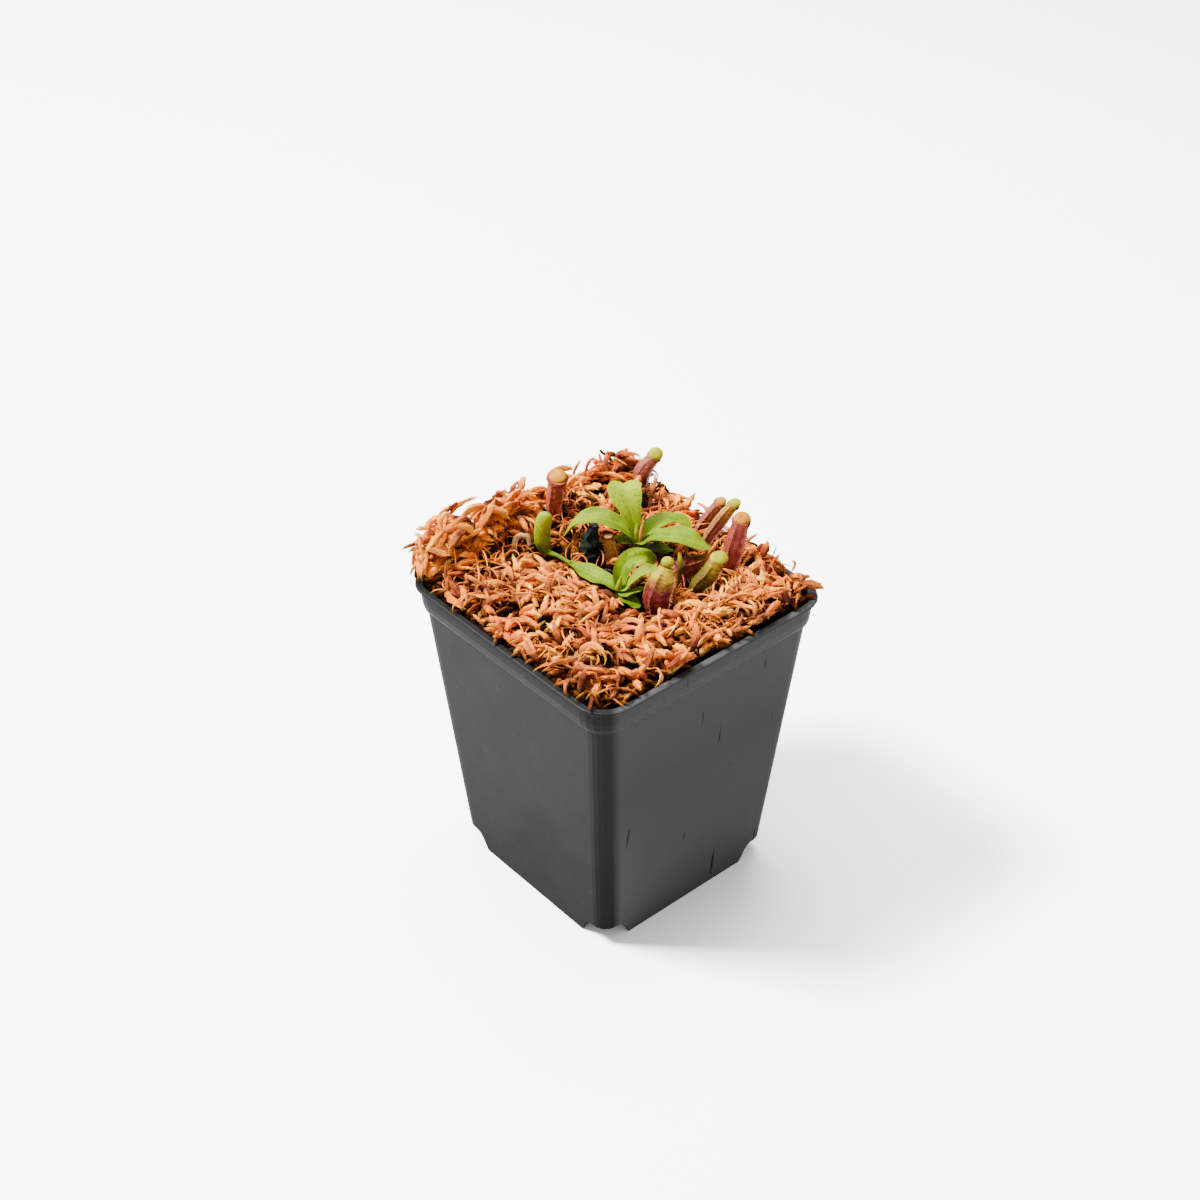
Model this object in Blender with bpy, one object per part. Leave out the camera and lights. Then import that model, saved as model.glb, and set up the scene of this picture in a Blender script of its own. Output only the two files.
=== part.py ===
"""A young pitcher plant in a square nursery pot, bedded in dried moss.

Sizes and places are in millimetres and every mesh is finished in metres, with +Z up.
The origin is the centre of the pot's underside. The pot's walls face along X and Y.
"""
import math
import random

import bmesh
import bpy
from mathutils import Matrix, Vector
from mathutils.bvhtree import BVHTree

MM = 0.001

# Pot
POT_HEIGHT = 101.3
RIM_WIDTH = 90.0
COLLAR_WIDTH = 87.0
WALL_TOP_WIDTH = 82.8
BASE_WIDTH = 66.8
COLLAR_FOOT = 91.6
WALL = 0.9
RIM_RING = 2.4
LIP = 1.2
FLOOR_RISE = 3.0
FLOOR = 1.5
BASE_CORNER = 4.6
WALL_CORNER = 6.0
RIM_CORNER = 10.2
DRAIN_HEIGHT = 6.3
DRAIN_EDGE = 23.2
DRAIN_SLANT = 0.5
DRAIN_REACH = 5.0
DRAIN_ROUND = 2.0
RIB = 0.55

# Clearance kept between pieces that touch
GAP = 0.3

# Moss
MOSS_HALF = 0.5 * RIM_WIDTH - RIM_RING - 1.0
MOSS_CORNER = 7.0
MOSS_REACH = 47.0
SPRIG_STEP = 5.15
SPRIG_SINK = 1.5
SPRIG_LONG = (7.5, 11.5)
SPRIG_WIDE = (2.7, 3.9)
SPRIG_LEAN = (0.7, 1.3)
SPRIG_LEAN_AT_RIM = (0.5, 1.0)
SPRIG_DROOP = 0.45
SPRIG_TRIES = 16
SPRIG_SHRINK = 0.035
CUSHION_SPRIGS = 13
CUSHION_CLEARANCE = 1.6
MOSS_ROUGH = 0.7
MOSS_SEED = 12
CORE_CLEARANCE = GAP + 0.1
CORE_LOOPS = (1.0, 0.94, 0.82, 0.68, 0.54, 0.40, 0.26, 0.12)
EDGE_START = 0.82
EDGE_FADE = 0.6
RIM_ZONE = 0.78

# Leaves
BLADE = 0.7
BLADE_ROWS = 7
BLADE_COLUMNS = 4

COLOURS = {
    "pot": ((0.055, 0.055, 0.057), 0.45),
    "moss_rust": ((0.42, 0.15, 0.06), 0.95),
    "moss_pale": ((0.72, 0.44, 0.24), 0.95),
    "leaf": ((0.27, 0.50, 0.04), 0.40),
    "stem": ((0.33, 0.46, 0.08), 0.50),
    "pitcher_red": ((0.30, 0.05, 0.06), 0.45),
    "pitcher_tan": ((0.55, 0.33, 0.11), 0.50),
    "pitcher_green": ((0.45, 0.50, 0.08), 0.45),
    "dead": ((0.012, 0.016, 0.015), 0.90),
    "dry": ((0.42, 0.22, 0.09), 0.90),
    "twig": ((0.05, 0.03, 0.03), 0.85),
}


def clear_scene():
    """Remove every object of the opened scene."""
    for thing in list(bpy.data.objects):
        bpy.data.objects.remove(thing, do_unlink=True)


def material(name):
    """The plain finish of one kind of surface."""
    made = bpy.data.materials.get(name)
    if made:
        return made
    colour, roughness = COLOURS[name]
    made = bpy.data.materials.new(name)
    made.use_nodes = True
    shader = made.node_tree.nodes["Principled BSDF"]
    shader.inputs["Base Color"].default_value = (*colour, 1.0)
    shader.inputs["Roughness"].default_value = roughness
    shader.inputs["Metallic"].default_value = 0.0
    return made


def finish(bm, name, finish_name, smooth=40.0):
    """Turn a mesh in millimetres into a named object in metres."""
    bmesh.ops.recalc_face_normals(bm, faces=bm.faces)
    if bm.calc_volume(signed=True) < 0.0:
        bmesh.ops.reverse_faces(bm, faces=bm.faces)
    bmesh.ops.scale(bm, vec=(MM, MM, MM), verts=bm.verts)
    mesh = bpy.data.meshes.new(name)
    bm.to_mesh(mesh)
    bm.free()
    mesh.materials.append(material(finish_name))
    mesh.shade_smooth()
    mesh.set_sharp_from_angle(angle=math.radians(smooth))
    thing = bpy.data.objects.new(name, mesh)
    bpy.context.scene.collection.objects.link(thing)
    return thing


def evaluated_copy(thing):
    """The mesh of an object with its modifiers applied."""
    bpy.context.view_layer.update()
    shaped = thing.evaluated_get(bpy.context.evaluated_depsgraph_get())
    return bpy.data.meshes.new_from_object(shaped)


def combine(target, others, operation, solver="MANIFOLD"):
    """Join other closed objects to the target, or cut them from it, and remove them."""
    group = bpy.data.collections.new("others")
    bpy.context.scene.collection.children.link(group)
    for other in others:
        bpy.context.scene.collection.objects.unlink(other)
        group.objects.link(other)
    change = target.modifiers.new("combine", "BOOLEAN")
    change.operation = operation
    change.solver = solver
    change.operand_type = "COLLECTION"
    change.collection = group
    mesh = evaluated_copy(target)
    target.modifiers.remove(change)
    target.data = mesh
    for other in others:
        bpy.data.objects.remove(other, do_unlink=True)
    bpy.data.collections.remove(group)


def keep_largest(thing):
    """Drop the loose scraps that a cut leaves beside the main body."""
    bm = bmesh.new()
    bm.from_mesh(thing.data)
    left = set(bm.verts)
    bodies = []
    while left:
        body, edge_of = set(), [left.pop()]
        while edge_of:
            vert = edge_of.pop()
            body.add(vert)
            for edge in vert.link_edges:
                other = edge.other_vert(vert)
                if other in left:
                    left.discard(other)
                    edge_of.append(other)
        bodies.append(body)
    bodies.sort(key=len)
    scraps = [vert for body in bodies[:-1] for vert in body]
    bmesh.ops.delete(bm, geom=scraps, context="VERTS")
    bm.to_mesh(thing.data)
    bm.free()


def ring(bm, points):
    """One closed loop of edges through the given points."""
    verts = bmesh.ops.create_circle(bm, segments=len(points), radius=1.0)["verts"]
    for vert, point in zip(verts, points):
        vert.co = point
    edges = [bm.edges.get((a, b)) for a, b in zip(verts, verts[1:] + verts[:1])]
    return edges


def skin(bm, loops):
    """A closed body over a row of loops, with a flat cap at each end."""
    for near, far in zip(loops, loops[1:]):
        bmesh.ops.bridge_loops(bm, edges=near + far)
    for end in (loops[0], loops[-1]):
        bmesh.ops.contextual_create(bm, geom=end)
    bm.verts.index_update()


def square_ring(half, radius, z, corner_steps=6, side_steps=0):
    """Points round a square with round corners, with more along its sides if asked."""
    points = []
    inner = half - radius
    for quarter in range(4):
        turn = Matrix.Rotation(math.radians(90.0 * quarter), 3, "Z")
        for step in range(corner_steps + 1):
            angle = math.radians(90.0 * step / corner_steps)
            points.append(turn @ Vector((inner + radius * math.cos(angle),
                                         inner + radius * math.sin(angle), z)))
        for step in range(1, side_steps + 1):
            share = step / (side_steps + 1)
            points.append(turn @ Vector((inner - 2.0 * inner * share, half, z)))
    return points


def curve_point(points, share):
    """A point on the smooth curve through a few control points, share 0 to 1."""
    spans = len(points) - 1
    place = min(max(share, 0.0), 1.0) * spans
    index = min(int(place), spans - 1)
    t = place - index
    b, c = points[index], points[index + 1]
    a = points[index - 1] if index else b * 2.0 - c
    d = points[index + 2] if index + 2 <= spans else c * 2.0 - b
    return 0.5 * (2.0 * b + (c - a) * t + (2.0 * a - 5.0 * b + 4.0 * c - d) * t * t
                  + (3.0 * b - a - 3.0 * c + d) * t * t * t)


def curve_frame(points, share, front):
    """A point on the curve with its direction, front and side."""
    within = min(max(share, 0.0), 1.0)
    here = curve_point(points, within)
    along = (curve_point(points, within + 0.02) - curve_point(points, within - 0.02)).normalized()
    side = along.cross(front).normalized()
    return here, along, side.cross(along), side


# Pot

def wall_width(z):
    """Outside width of the tapered wall at a height."""
    return BASE_WIDTH + (WALL_TOP_WIDTH - BASE_WIDTH) * z / COLLAR_FOOT


def pot_profile():
    """Half width, corner radius and height of each loop, underside to outside to inside."""
    half_rim, half_collar = 0.5 * RIM_WIDTH, 0.5 * COLLAR_WIDTH
    half_top = 0.5 * WALL_TOP_WIDTH
    rise = COLLAR_FOOT
    inner = half_rim - RIM_RING
    lip_foot = POT_HEIGHT - LIP
    floor_top = FLOOR_RISE + FLOOR
    foot = 0.5 * BASE_WIDTH - WALL
    under = 0.5 * wall_width(FLOOR_RISE) - WALL
    inside = 0.5 * wall_width(floor_top) - WALL
    return [
        (under, BASE_CORNER - WALL, FLOOR_RISE),
        (foot, BASE_CORNER - WALL, 0.0),
        (0.5 * BASE_WIDTH, BASE_CORNER, 0.0),
        (half_top, WALL_CORNER, rise),
        (half_top + 0.9, WALL_CORNER + 1.2, rise + 0.5),
        (half_collar - 0.5, WALL_CORNER + 2.4, rise + 2.0),
        (half_collar - 0.1, RIM_CORNER - 1.2, rise + 4.2),
        (half_collar, RIM_CORNER - 1.1, lip_foot),
        (half_rim - 0.3, RIM_CORNER - 0.3, lip_foot + 0.1),
        (half_rim, RIM_CORNER, lip_foot + 0.5),
        (half_rim - 0.2, RIM_CORNER - 0.2, POT_HEIGHT - 0.2),
        (half_rim - 0.6, RIM_CORNER - 0.6, POT_HEIGHT),
        (inner + 0.3, RIM_CORNER - 2.1, POT_HEIGHT),
        (inner, RIM_CORNER - 2.4, POT_HEIGHT - 0.3),
        (half_collar - 1.1, RIM_CORNER - 2.6, rise + 4.0),
        (half_top - WALL, WALL_CORNER - WALL, rise - 1.0),
        (inside, BASE_CORNER - WALL, floor_top),
    ]


def drain_cutter(sign_x, sign_y):
    """The block that opens one lower corner of the pot, with slanted ends."""
    bm = bmesh.new()
    bmesh.ops.create_cube(bm, size=1.0)
    far = 0.5 * BASE_WIDTH + DRAIN_REACH
    for vert in bm.verts:
        upper = vert.co.z > 0.0
        z = DRAIN_HEIGHT if upper else -1.0
        near = DRAIN_EDGE + DRAIN_SLANT * z
        x = far if vert.co.x > 0.0 else near
        y = far if vert.co.y > 0.0 else near
        vert.co = (x, y, z)
    shoulders = [edge for edge in bm.edges
                 if all(v.co.z > 0.0 for v in edge.verts)
                 and (all(v.co.x < far - 1.0 for v in edge.verts)
                      or all(v.co.y < far - 1.0 for v in edge.verts))]
    bmesh.ops.bevel(bm, geom=shoulders, offset=DRAIN_ROUND, segments=3, profile=0.5,
                    affect="EDGES", material=-1)
    for vert in bm.verts:
        vert.co.x *= sign_x
        vert.co.y *= sign_y
    return finish(bm, "drain_cutter", "pot")


def make_pot():
    """The pot: tapered walls, collar, flat rim ring with a lip, and a raised floor."""
    bm = bmesh.new()
    loops = [ring(bm, square_ring(half, radius, z)) for half, radius, z in pot_profile()]
    skin(bm, loops)
    return finish(bm, "pot", "pot", smooth=35.0)


def open_drains(pot):
    """Cut the drain opening at each lower corner of the pot."""
    cutters = [drain_cutter(x, y) for x in (-1, 1) for y in (-1, 1)]
    combine(pot, cutters, "DIFFERENCE", solver="EXACT")


# Leaves

def blade_width(share, wide, base, tip, widest):
    """Width of a leaf at a share of its length."""
    if share < widest:
        return wide * (base + (1.0 - base) * math.sin(0.5 * math.pi * share / widest))
    fall = math.cos(0.5 * math.pi * (share - widest) / (1.0 - widest))
    return wide * (tip + (1.0 - tip) * max(fall, 0.0) ** 0.75)


def blade_point(spec, share, across, face, grow):
    """A point of a leaf: across from -1 to 1, face -1 on the underside and 1 on top."""
    here, along, up, side = curve_frame(spec["line"], share, spec["front"])
    half = 0.5 * blade_width(share, spec["wide"], spec["base"], spec["tip"], spec["widest"])
    lift = spec["fold"] * half * abs(across) ** 1.3
    wave = spec["wave"] * across * across * math.sin(9.0 * share + spec["phase"] + across)
    lift += wave * min(1.0, 4.0 * share) + face * (0.5 * BLADE + grow)
    ends = grow if share > 0.99 else -grow if share < 0.01 else 0.0
    return here + side * ((half + grow) * across) + up * lift + along * ends


def make_blade(name, spec, grow=0.0):
    """One leaf: a grid split into triangles, thickened, then bent along its line."""
    bm = bmesh.new()
    bmesh.ops.create_grid(bm, x_segments=BLADE_ROWS, y_segments=BLADE_COLUMNS, size=1.0)
    bmesh.ops.triangulate(bm, faces=bm.faces)
    bmesh.ops.translate(bm, vec=(0.0, 0.0, -1.0), verts=bm.verts)
    top = bmesh.ops.extrude_face_region(bm, geom=bm.faces[:], use_keep_orig=True)
    raised = [item for item in top["geom"] if isinstance(item, bmesh.types.BMVert)]
    bmesh.ops.translate(bm, vec=(0.0, 0.0, 2.0), verts=raised)
    for vert in bm.verts:
        share = 0.5 * (vert.co.x + 1.0)
        vert.co = blade_point(spec, share, vert.co.y, vert.co.z, grow)
    return finish(bm, name, "leaf", smooth=60.0)


def leaf(line, wide, base=0.3, tip=0.12, widest=0.55, fold=0.35, wave=0.25, phase=0.0,
         front=(0.0, 0.0, 1.0)):
    """The measures of one leaf."""
    return {"line": [Vector(p) for p in line], "wide": wide, "base": base, "tip": tip,
            "widest": widest, "fold": fold, "wave": wave, "phase": phase,
            "front": Vector(front)}


LEAVES = {
    "leaf_upper_upright": leaf(
        [(-3.6, 11.2, 113.2), (-4.6, 11.8, 117.0), (-6.2, 12.2, 121.2), (-9.2, 12.8, 124.4),
         (-12.6, 14.0, 124.6)], 8.2, base=0.36, tip=0.35, widest=0.7, fold=0.4,
        front=(0.75, -0.65, 0.5)),
    "leaf_upper_left": leaf(
        [(-5.6, 11.1, 111.2), (-9.7, 9.4, 113.6), (-14.4, 6.4, 115.2), (-18.4, 2.0, 114.0),
         (-21.3, -1.7, 109.2)], 7.2, tip=0.15, widest=0.5, fold=0.3, phase=1.0),
    "leaf_upper_front": leaf(
        [(-1.9, 12.2, 110.6), (2.4, 14.0, 113.8), (7.3, 16.6, 115.2), (11.6, 20.2, 114.2),
         (14.4, 24.2, 111.8)], 9.2, tip=0.2, widest=0.6, fold=0.25, phase=2.0),
    "leaf_upper_back": leaf(
        [(-4.0, 14.2, 111.2), (-3.6, 17.6, 113.2), (-1.8, 21.6, 114.4), (0.6, 24.8, 113.6),
         (3.0, 27.2, 111.4)], 6.4, tip=0.25, widest=0.6, fold=0.3, phase=0.5),
    "leaf_upper_small": leaf(
        [(-5.9, 12.0, 108.6), (-8.4, 10.4, 109.0), (-12.2, 9.6, 108.2)], 4.0, fold=0.2),
    "leaf_upper_low": leaf(
        [(-2.3, 13.2, 108.2), (1.4, 15.1, 108.8), (4.2, 18.8, 108.2)], 4.8, fold=0.2,
        phase=2.5),
    "leaf_lower_arched": leaf(
        [(4.9, -2.7, 107.3), (3.8, -0.6, 110.6), (4.5, 2.7, 112.8), (6.0, 6.3, 112.3),
         (6.8, 9.2, 109.6)], 5.0, base=0.35, tip=0.3, fold=0.3, front=(0.55, -0.5, 0.8)),
    "leaf_lower_folded": leaf(
        [(7.7, -2.6, 106.0), (9.2, -0.2, 109.0), (10.9, 2.4, 111.0), (12.6, 5.2, 112.4)],
        4.8, base=0.25, tip=0.2, fold=0.45, phase=1.5),
    "leaf_lower_right": leaf(
        [(7.9, -3.8, 104.8), (10.4, -2.2, 106.0), (11.8, 1.0, 106.6)], 3.6, fold=0.2),
    "leaf_lower_low": leaf(
        [(7.6, -5.0, 102.9), (10.4, -3.8, 103.4), (13.6, -2.4, 102.6)], 4.2, tip=0.3,
        fold=0.2, phase=2.0),
    "leaf_lower_left": leaf(
        [(3.7, -4.3, 105.5), (-1.6, -4.9, 105.4), (-7.4, -6.2, 105.8), (-12.6, -7.8, 107.2)],
        7.8, base=0.3, tip=0.2, widest=0.5, fold=0.3, phase=0.7),
}

# Crown of each shoot: foot, top, radius at each
STEMS = {
    "stem_upper": ((-6.2, 14.2, 96.0), (-3.9, 12.0, 112.6), 1.5, 1.3),
    "stem_lower": ((4.4, -2.8, 96.0), (5.7, -3.7, 106.7), 1.5, 1.4),
}

# Bud on a tendril from the tip of the lower left leaf
TENDRIL = [(-11.6, -7.5, 107.0), (-16.3, -8.4, 107.6), (-19.7, -8.6, 107.0),
           (-21.6, -8.9, 107.6), (-21.8, -9.6, 111.0), (-21.8, -9.4, 115.6),
           (-21.1, -8.5, 120.6)]
TENDRIL_RADII = (0.6, 0.6, 0.9, 1.9, 2.4, 2.35, 2.0)


def tube(name, points, radii, finish_name, sides=8, front=(1.0, -0.8, 0.2), rows=9,
         flat=1.0, ribs=0.0, grow=0.0):
    """A closed tube along a smooth line, with two ribs down its front if asked."""
    line = [Vector(p) for p in points]
    front = Vector(front)
    bm = bmesh.new()
    loops = []
    for row in range(rows):
        share = row / (rows - 1)
        here, along, ahead, side = curve_frame(line, share, front)
        here += along * (grow * ((row == rows - 1) - (row == 0)))
        place = share * (len(radii) - 1)
        index = min(int(place), len(radii) - 2)
        blend = place - index
        radius = radii[index] * (1.0 - blend) + radii[index + 1] * blend + grow
        points_round = []
        for step in range(sides):
            angle = math.tau * step / sides
            reach = radius
            if ribs and step in (1, sides - 1):
                reach += ribs * math.sin(math.pi * share)
            points_round.append(here + ahead * (math.cos(angle) * reach * flat)
                                + side * (math.sin(angle) * reach))
        loops.append(ring(bm, points_round))
    skin(bm, loops)
    return finish(bm, name, finish_name)


def disc(name, centre, normal, size, finish_name, grow=0.0):
    """A shallow oval cap facing along a normal: size is across, deep and thick."""
    bm = bmesh.new()
    bmesh.ops.create_icosphere(bm, subdivisions=2, radius=1.0)
    facing = Vector(normal).normalized()
    side = facing.cross(Vector((0.0, 0.0, 1.0))).normalized()
    deep = side.cross(facing)
    for vert in bm.verts:
        local = vert.co.copy()
        vert.co = (Vector(centre) + side * (local.x * (0.5 * size[0] + grow))
                   + deep * (local.y * (0.5 * size[1] + grow))
                   + facing * (local.z * (0.5 * size[2] + grow)))
    return finish(bm, name, finish_name)


# Pitchers: line from the foot up, radii along it, lid centre, lid normal and lid size
PITCHERS = {
    "pitcher_back_left": dict(
        line=[(-29.8, 3.4, 98.0), (-30.6, 2.8, 106.0), (-31.8, 3.2, 112.0), (-31.2, 3.6, 117.0),
              (-30.6, 3.8, 122.4)],
        radii=(0.9, 1.2, 2.4, 3.0, 3.3), lid=(-30.5, 3.8, 123.4), normal=(0.35, -0.3, 0.9),
        size=(6.0, 5.4, 2.4), colour="pitcher_red"),
    "pitcher_back": dict(
        line=[(-30.0, 36.0, 98.0), (-30.2, 36.4, 106.0), (-29.6, 37.2, 111.6),
              (-27.8, 40.2, 116.6)],
        radii=(1.6, 2.6, 2.9, 2.3), lid=(-27.5, 40.6, 117.6), normal=(0.5, -0.2, 0.85),
        size=(4.8, 4.4, 2.0), colour="pitcher_red"),
    "pitcher_right_tall": dict(
        line=[(17.4, 25.6, 98.0), (18.2, 27.0, 104.0), (18.6, 29.6, 110.5), (18.5, 32.4, 119.4)],
        radii=(1.5, 2.5, 3.0, 2.9), lid=(18.4, 32.8, 120.4), normal=(0.4, -0.35, 0.85),
        size=(5.2, 4.8, 2.0), colour="pitcher_red"),
    "pitcher_right_tan": dict(
        line=[(4.6, 28.6, 97.0), (5.2, 31.8, 106.2), (6.4, 36.2, 112.0), (8.2, 39.2, 117.0)],
        radii=(1.1, 1.6, 2.1, 1.9), lid=(8.5, 39.6, 117.9), normal=(0.45, -0.35, 0.8),
        size=(3.8, 3.6, 1.7), colour="pitcher_tan"),
    "pitcher_right_rear": dict(
        line=[(-3.8, 33.4, 97.0), (-2.0, 36.4, 105.4), (-0.4, 38.4, 109.6), (1.6, 40.2, 114.0)],
        radii=(1.2, 1.8, 2.1, 1.9), lid=(2.0, 40.4, 114.9), normal=(0.4, -0.3, 0.85),
        size=(3.6, 3.4, 1.6), colour="pitcher_red"),
    "pitcher_front": dict(
        line=[(17.9, 1.2, 98.5), (17.8, 0.8, 102.6), (17.3, 1.0, 107.0), (16.9, 2.4, 111.5),
              (16.6, 4.2, 115.0)],
        radii=(1.2, 3.2, 4.1, 3.1, 2.5), lid=(16.5, 4.6, 116.2), normal=(0.1, -0.2, 0.9),
        size=(4.2, 3.6, 2.6), colour="pitcher_red"),
    "pitcher_maroon": dict(
        line=[(6.6, 11.0, 97.5), (9.0, 13.2, 104.2), (11.6, 16.2, 106.4), (13.6, 19.8, 107.4),
              (14.8, 22.4, 108.3)],
        radii=(0.9, 2.1, 2.5, 2.2, 1.6), lid=(15.0, 23.0, 108.9), normal=(0.4, 0.2, 0.85),
        size=(3.2, 3.0, 1.4), colour="pitcher_red"),
    "pitcher_green": dict(
        line=[(16.8, 13.6, 97.5), (18.4, 15.9, 104.2), (20.0, 18.6, 107.6), (21.0, 21.0, 112.0)],
        radii=(1.0, 1.8, 2.3, 2.5), lid=(21.0, 21.4, 112.9), normal=(0.35, -0.1, 0.9),
        size=(5.4, 4.6, 2.0), colour="pitcher_green"),
    "pitcher_withered": dict(
        line=[(-8.4, 7.6, 97.0), (-9.4, 7.0, 104.0), (-10.4, 5.9, 111.4)],
        radii=(1.2, 1.9, 1.6), lid=None, colour="pitcher_tan"),
}


def pitcher_shapes(name, spec, grow=0.0):
    """The shapes of one pitcher: a ribbed tube that swells and draws in, and its lid."""
    ribs = RIB if spec["lid"] else 0.0
    shapes = [tube(name, spec["line"], spec["radii"], spec["colour"], sides=10, rows=8,
                   ribs=ribs, grow=grow)]
    if spec["lid"]:
        shapes.append(disc(name + "_lid", spec["lid"], spec["normal"], spec["size"],
                           spec["colour"], grow=grow))
    return shapes


# Small dry pieces: line, radii, flatness, finish
DRY_PIECES = {
    "shoot_blackened": dict(
        points=[(-12.0, 0.4, 97.0), (-12.2, 0.6, 104.5), (-12.4, 1.2, 109.6),
                (-11.2, 1.2, 114.4)],
        radii=(1.6, 2.6, 2.1, 1.4), flat=0.7, finish_name="dead"),
    "leaf_withered_orange": dict(
        points=[(-17.2, 3.4, 98.0), (-18.0, 1.2, 104.0), (-19.8, 0.4, 107.8)],
        radii=(0.8, 2.0, 0.7), flat=0.35, finish_name="dry"),
    "leaf_withered_dark": dict(
        points=[(-8.0, 2.0, 98.0), (-5.6, 1.4, 102.4), (-3.4, 1.6, 104.4)],
        radii=(0.6, 1.7, 0.6), flat=0.4, finish_name="twig"),
    "curl_dry": dict(
        points=[(-28.0, -15.4, 98.0), (-28.6, -15.2, 106.4), (-28.9, -13.4, 109.9),
                (-27.0, -11.4, 110.2), (-25.9, -11.2, 107.6)],
        radii=(0.5, 0.8, 0.9, 0.8, 0.5), flat=0.6, finish_name="dry"),
    "stub_curled": dict(
        points=[(14.0, 10.0, 98.0), (13.4, 12.6, 106.4), (13.4, 13.2, 109.6),
                (11.6, 14.6, 113.0)],
        radii=(0.5, 0.8, 0.9, 0.5), flat=0.6, finish_name="pitcher_green"),
    "twig_left": dict(
        points=[(-38.6, -37.2, 97.0), (-40.6, -37.6, 104.0), (-43.6, -36.6, 109.0),
                (-45.4, -34.8, 112.6)],
        radii=(0.5, 0.55, 0.5, 0.4), flat=1.0, finish_name="twig"),
    "twig_back": dict(
        points=[(-38.8, 36.8, 97.0), (-40.9, 35.5, 109.0), (-43.7, 31.9, 114.8)],
        radii=(0.6, 0.7, 0.4), flat=1.0, finish_name="twig"),
    "twig_middle": dict(
        points=[(-28.8, 12.8, 98.0), (-28.4, 12.2, 107.0), (-27.6, 11.4, 112.2)],
        radii=(0.5, 0.6, 0.4), flat=1.0, finish_name="twig"),
}


def make_dry_piece(name, spec, grow=0.0):
    """A withered leaf, shoot, curl or twig."""
    return tube(name, spec["points"], spec["radii"], spec["finish_name"], sides=6,
                rows=8, flat=spec["flat"], grow=grow)


def make_stem(name, measures, grow=0.0):
    """The short upright stem of one shoot."""
    foot, top, radius_foot, radius_top = measures
    return tube(name, [foot, top], (radius_foot, radius_top), "stem", rows=4, grow=grow)


def make_bud(grow=0.0):
    """The tendril and the closed flattened bud of a new pitcher."""
    return tube("bud", TENDRIL, TENDRIL_RADII, "leaf", sides=8, rows=16, flat=0.75,
                grow=grow)


def plant_shapes(grow=0.0):
    """The shapes of every piece of the plant by its name, grown by a clearance."""
    shapes = {name: [make_blade(name, spec, grow)] for name, spec in LEAVES.items()}
    shapes["leaf_lower_left"].append(make_bud(grow))
    for name, measures in STEMS.items():
        shapes[name] = [make_stem(name, measures, grow)]
    for name, spec in PITCHERS.items():
        shapes[name] = pitcher_shapes(name, spec, grow)
    for name, spec in DRY_PIECES.items():
        shapes[name] = [make_dry_piece(name, spec, grow)]
    return shapes


def flat_list(shapes):
    """All shapes of all pieces in one list."""
    return [thing for group in shapes.values() for thing in group]


def join_plant(shapes):
    """Fuse the shapes of each piece into one body."""
    for first, *others in shapes.values():
        if others:
            combine(first, others, "UNION")


# Moss: centre, width and height of each swell over the level bed
MOSS_LEVEL = 101.2
MOSS_EDGE = 100.4
MOSS_SWELLS = (
    ((-36.0, 4.0), 26.0, 7.4),
    ((-34.0, 34.0), 22.0, 8.0),
    ((-42.0, -26.0), 17.0, 9.0),
    ((8.0, 38.0), 24.0, 3.0),
    ((36.0, 30.0), 18.0, 1.4),
    ((-8.0, -24.0), 20.0, 1.8),
    ((30.0, -10.0), 16.0, 1.6),
    ((4.0, 2.0), 17.0, -0.8),
)

# Pale cushions: centre, half widths and thickness
CUSHIONS = {
    "moss_pale_front": ((-3.0, -16.5), (9.5, 6.0), 4.4),
    "moss_pale_right": ((31.0, 12.0), (6.5, 9.0), 4.4),
    "moss_pale_back": ((-12.0, 33.5), (7.5, 6.0), 4.4),
    "moss_pale_left": ((-36.0, -20.0), (5.0, 7.0), 4.4),
}


def moss_height(x, y):
    """Height of the moss under its sprigs."""
    out = max(abs(x), abs(y)) / MOSS_HALF
    edge = min(1.0, max(0.0, (out - EDGE_START) / (1.0 - EDGE_START)))
    height = MOSS_LEVEL + (MOSS_EDGE - MOSS_LEVEL) * edge
    for centre, width, rise in MOSS_SWELLS:
        far = math.hypot(x - centre[0], y - centre[1]) / width
        height += rise * math.exp(-2.0 * far * far) * (1.0 - EDGE_FADE * edge * edge)
    height += 0.5 * math.sin(0.45 * x + 1.0) * math.cos(0.5 * y)
    return height


def moss_slope(x, y):
    """The upward normal of the moss."""
    step = 1.0
    along_x = (moss_height(x + step, y) - moss_height(x - step, y)) / (2.0 * step)
    along_y = (moss_height(x, y + step) - moss_height(x, y - step)) / (2.0 * step)
    return Vector((-along_x, -along_y, 1.0)).normalized()


def make_moss_core():
    """The filling: tapered like the pot's inside, with an uneven swelling top."""
    draw = random.Random(MOSS_SEED)
    bm = bmesh.new()
    floor = FLOOR_RISE + FLOOR + GAP
    loops = []
    for z in (floor, COLLAR_FOOT - 4.0):
        half = 0.5 * wall_width(z) - WALL - CORE_CLEARANCE
        loops.append(ring(bm, square_ring(half, BASE_CORNER, z, 3, 5)))
    for scale in CORE_LOOPS:
        points = square_ring(MOSS_HALF * scale, MOSS_CORNER * scale, 0.0, 3, 5)
        for point in points:
            point.z = moss_height(point.x, point.y) + draw.uniform(-MOSS_ROUGH, MOSS_ROUGH)
        loops.append(ring(bm, points))
    skin(bm, loops)
    return finish(bm, "moss_bed", "moss_rust")


def sprig_points(foot, lean, heading, size):
    """The foot, middle and tip of a sprig that leans out and droops."""
    flat = Vector((math.cos(heading), math.sin(heading), 0.0))
    up = moss_slope(foot.x, foot.y)
    first = (up * math.cos(lean) + flat * math.sin(lean)).normalized()
    later = min(lean + SPRIG_DROOP, math.radians(95.0))
    second = (up * math.cos(later) + flat * math.sin(later)).normalized()
    middle = foot + first * (0.5 * size)
    return foot, middle, middle + second * (0.5 * size)


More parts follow.
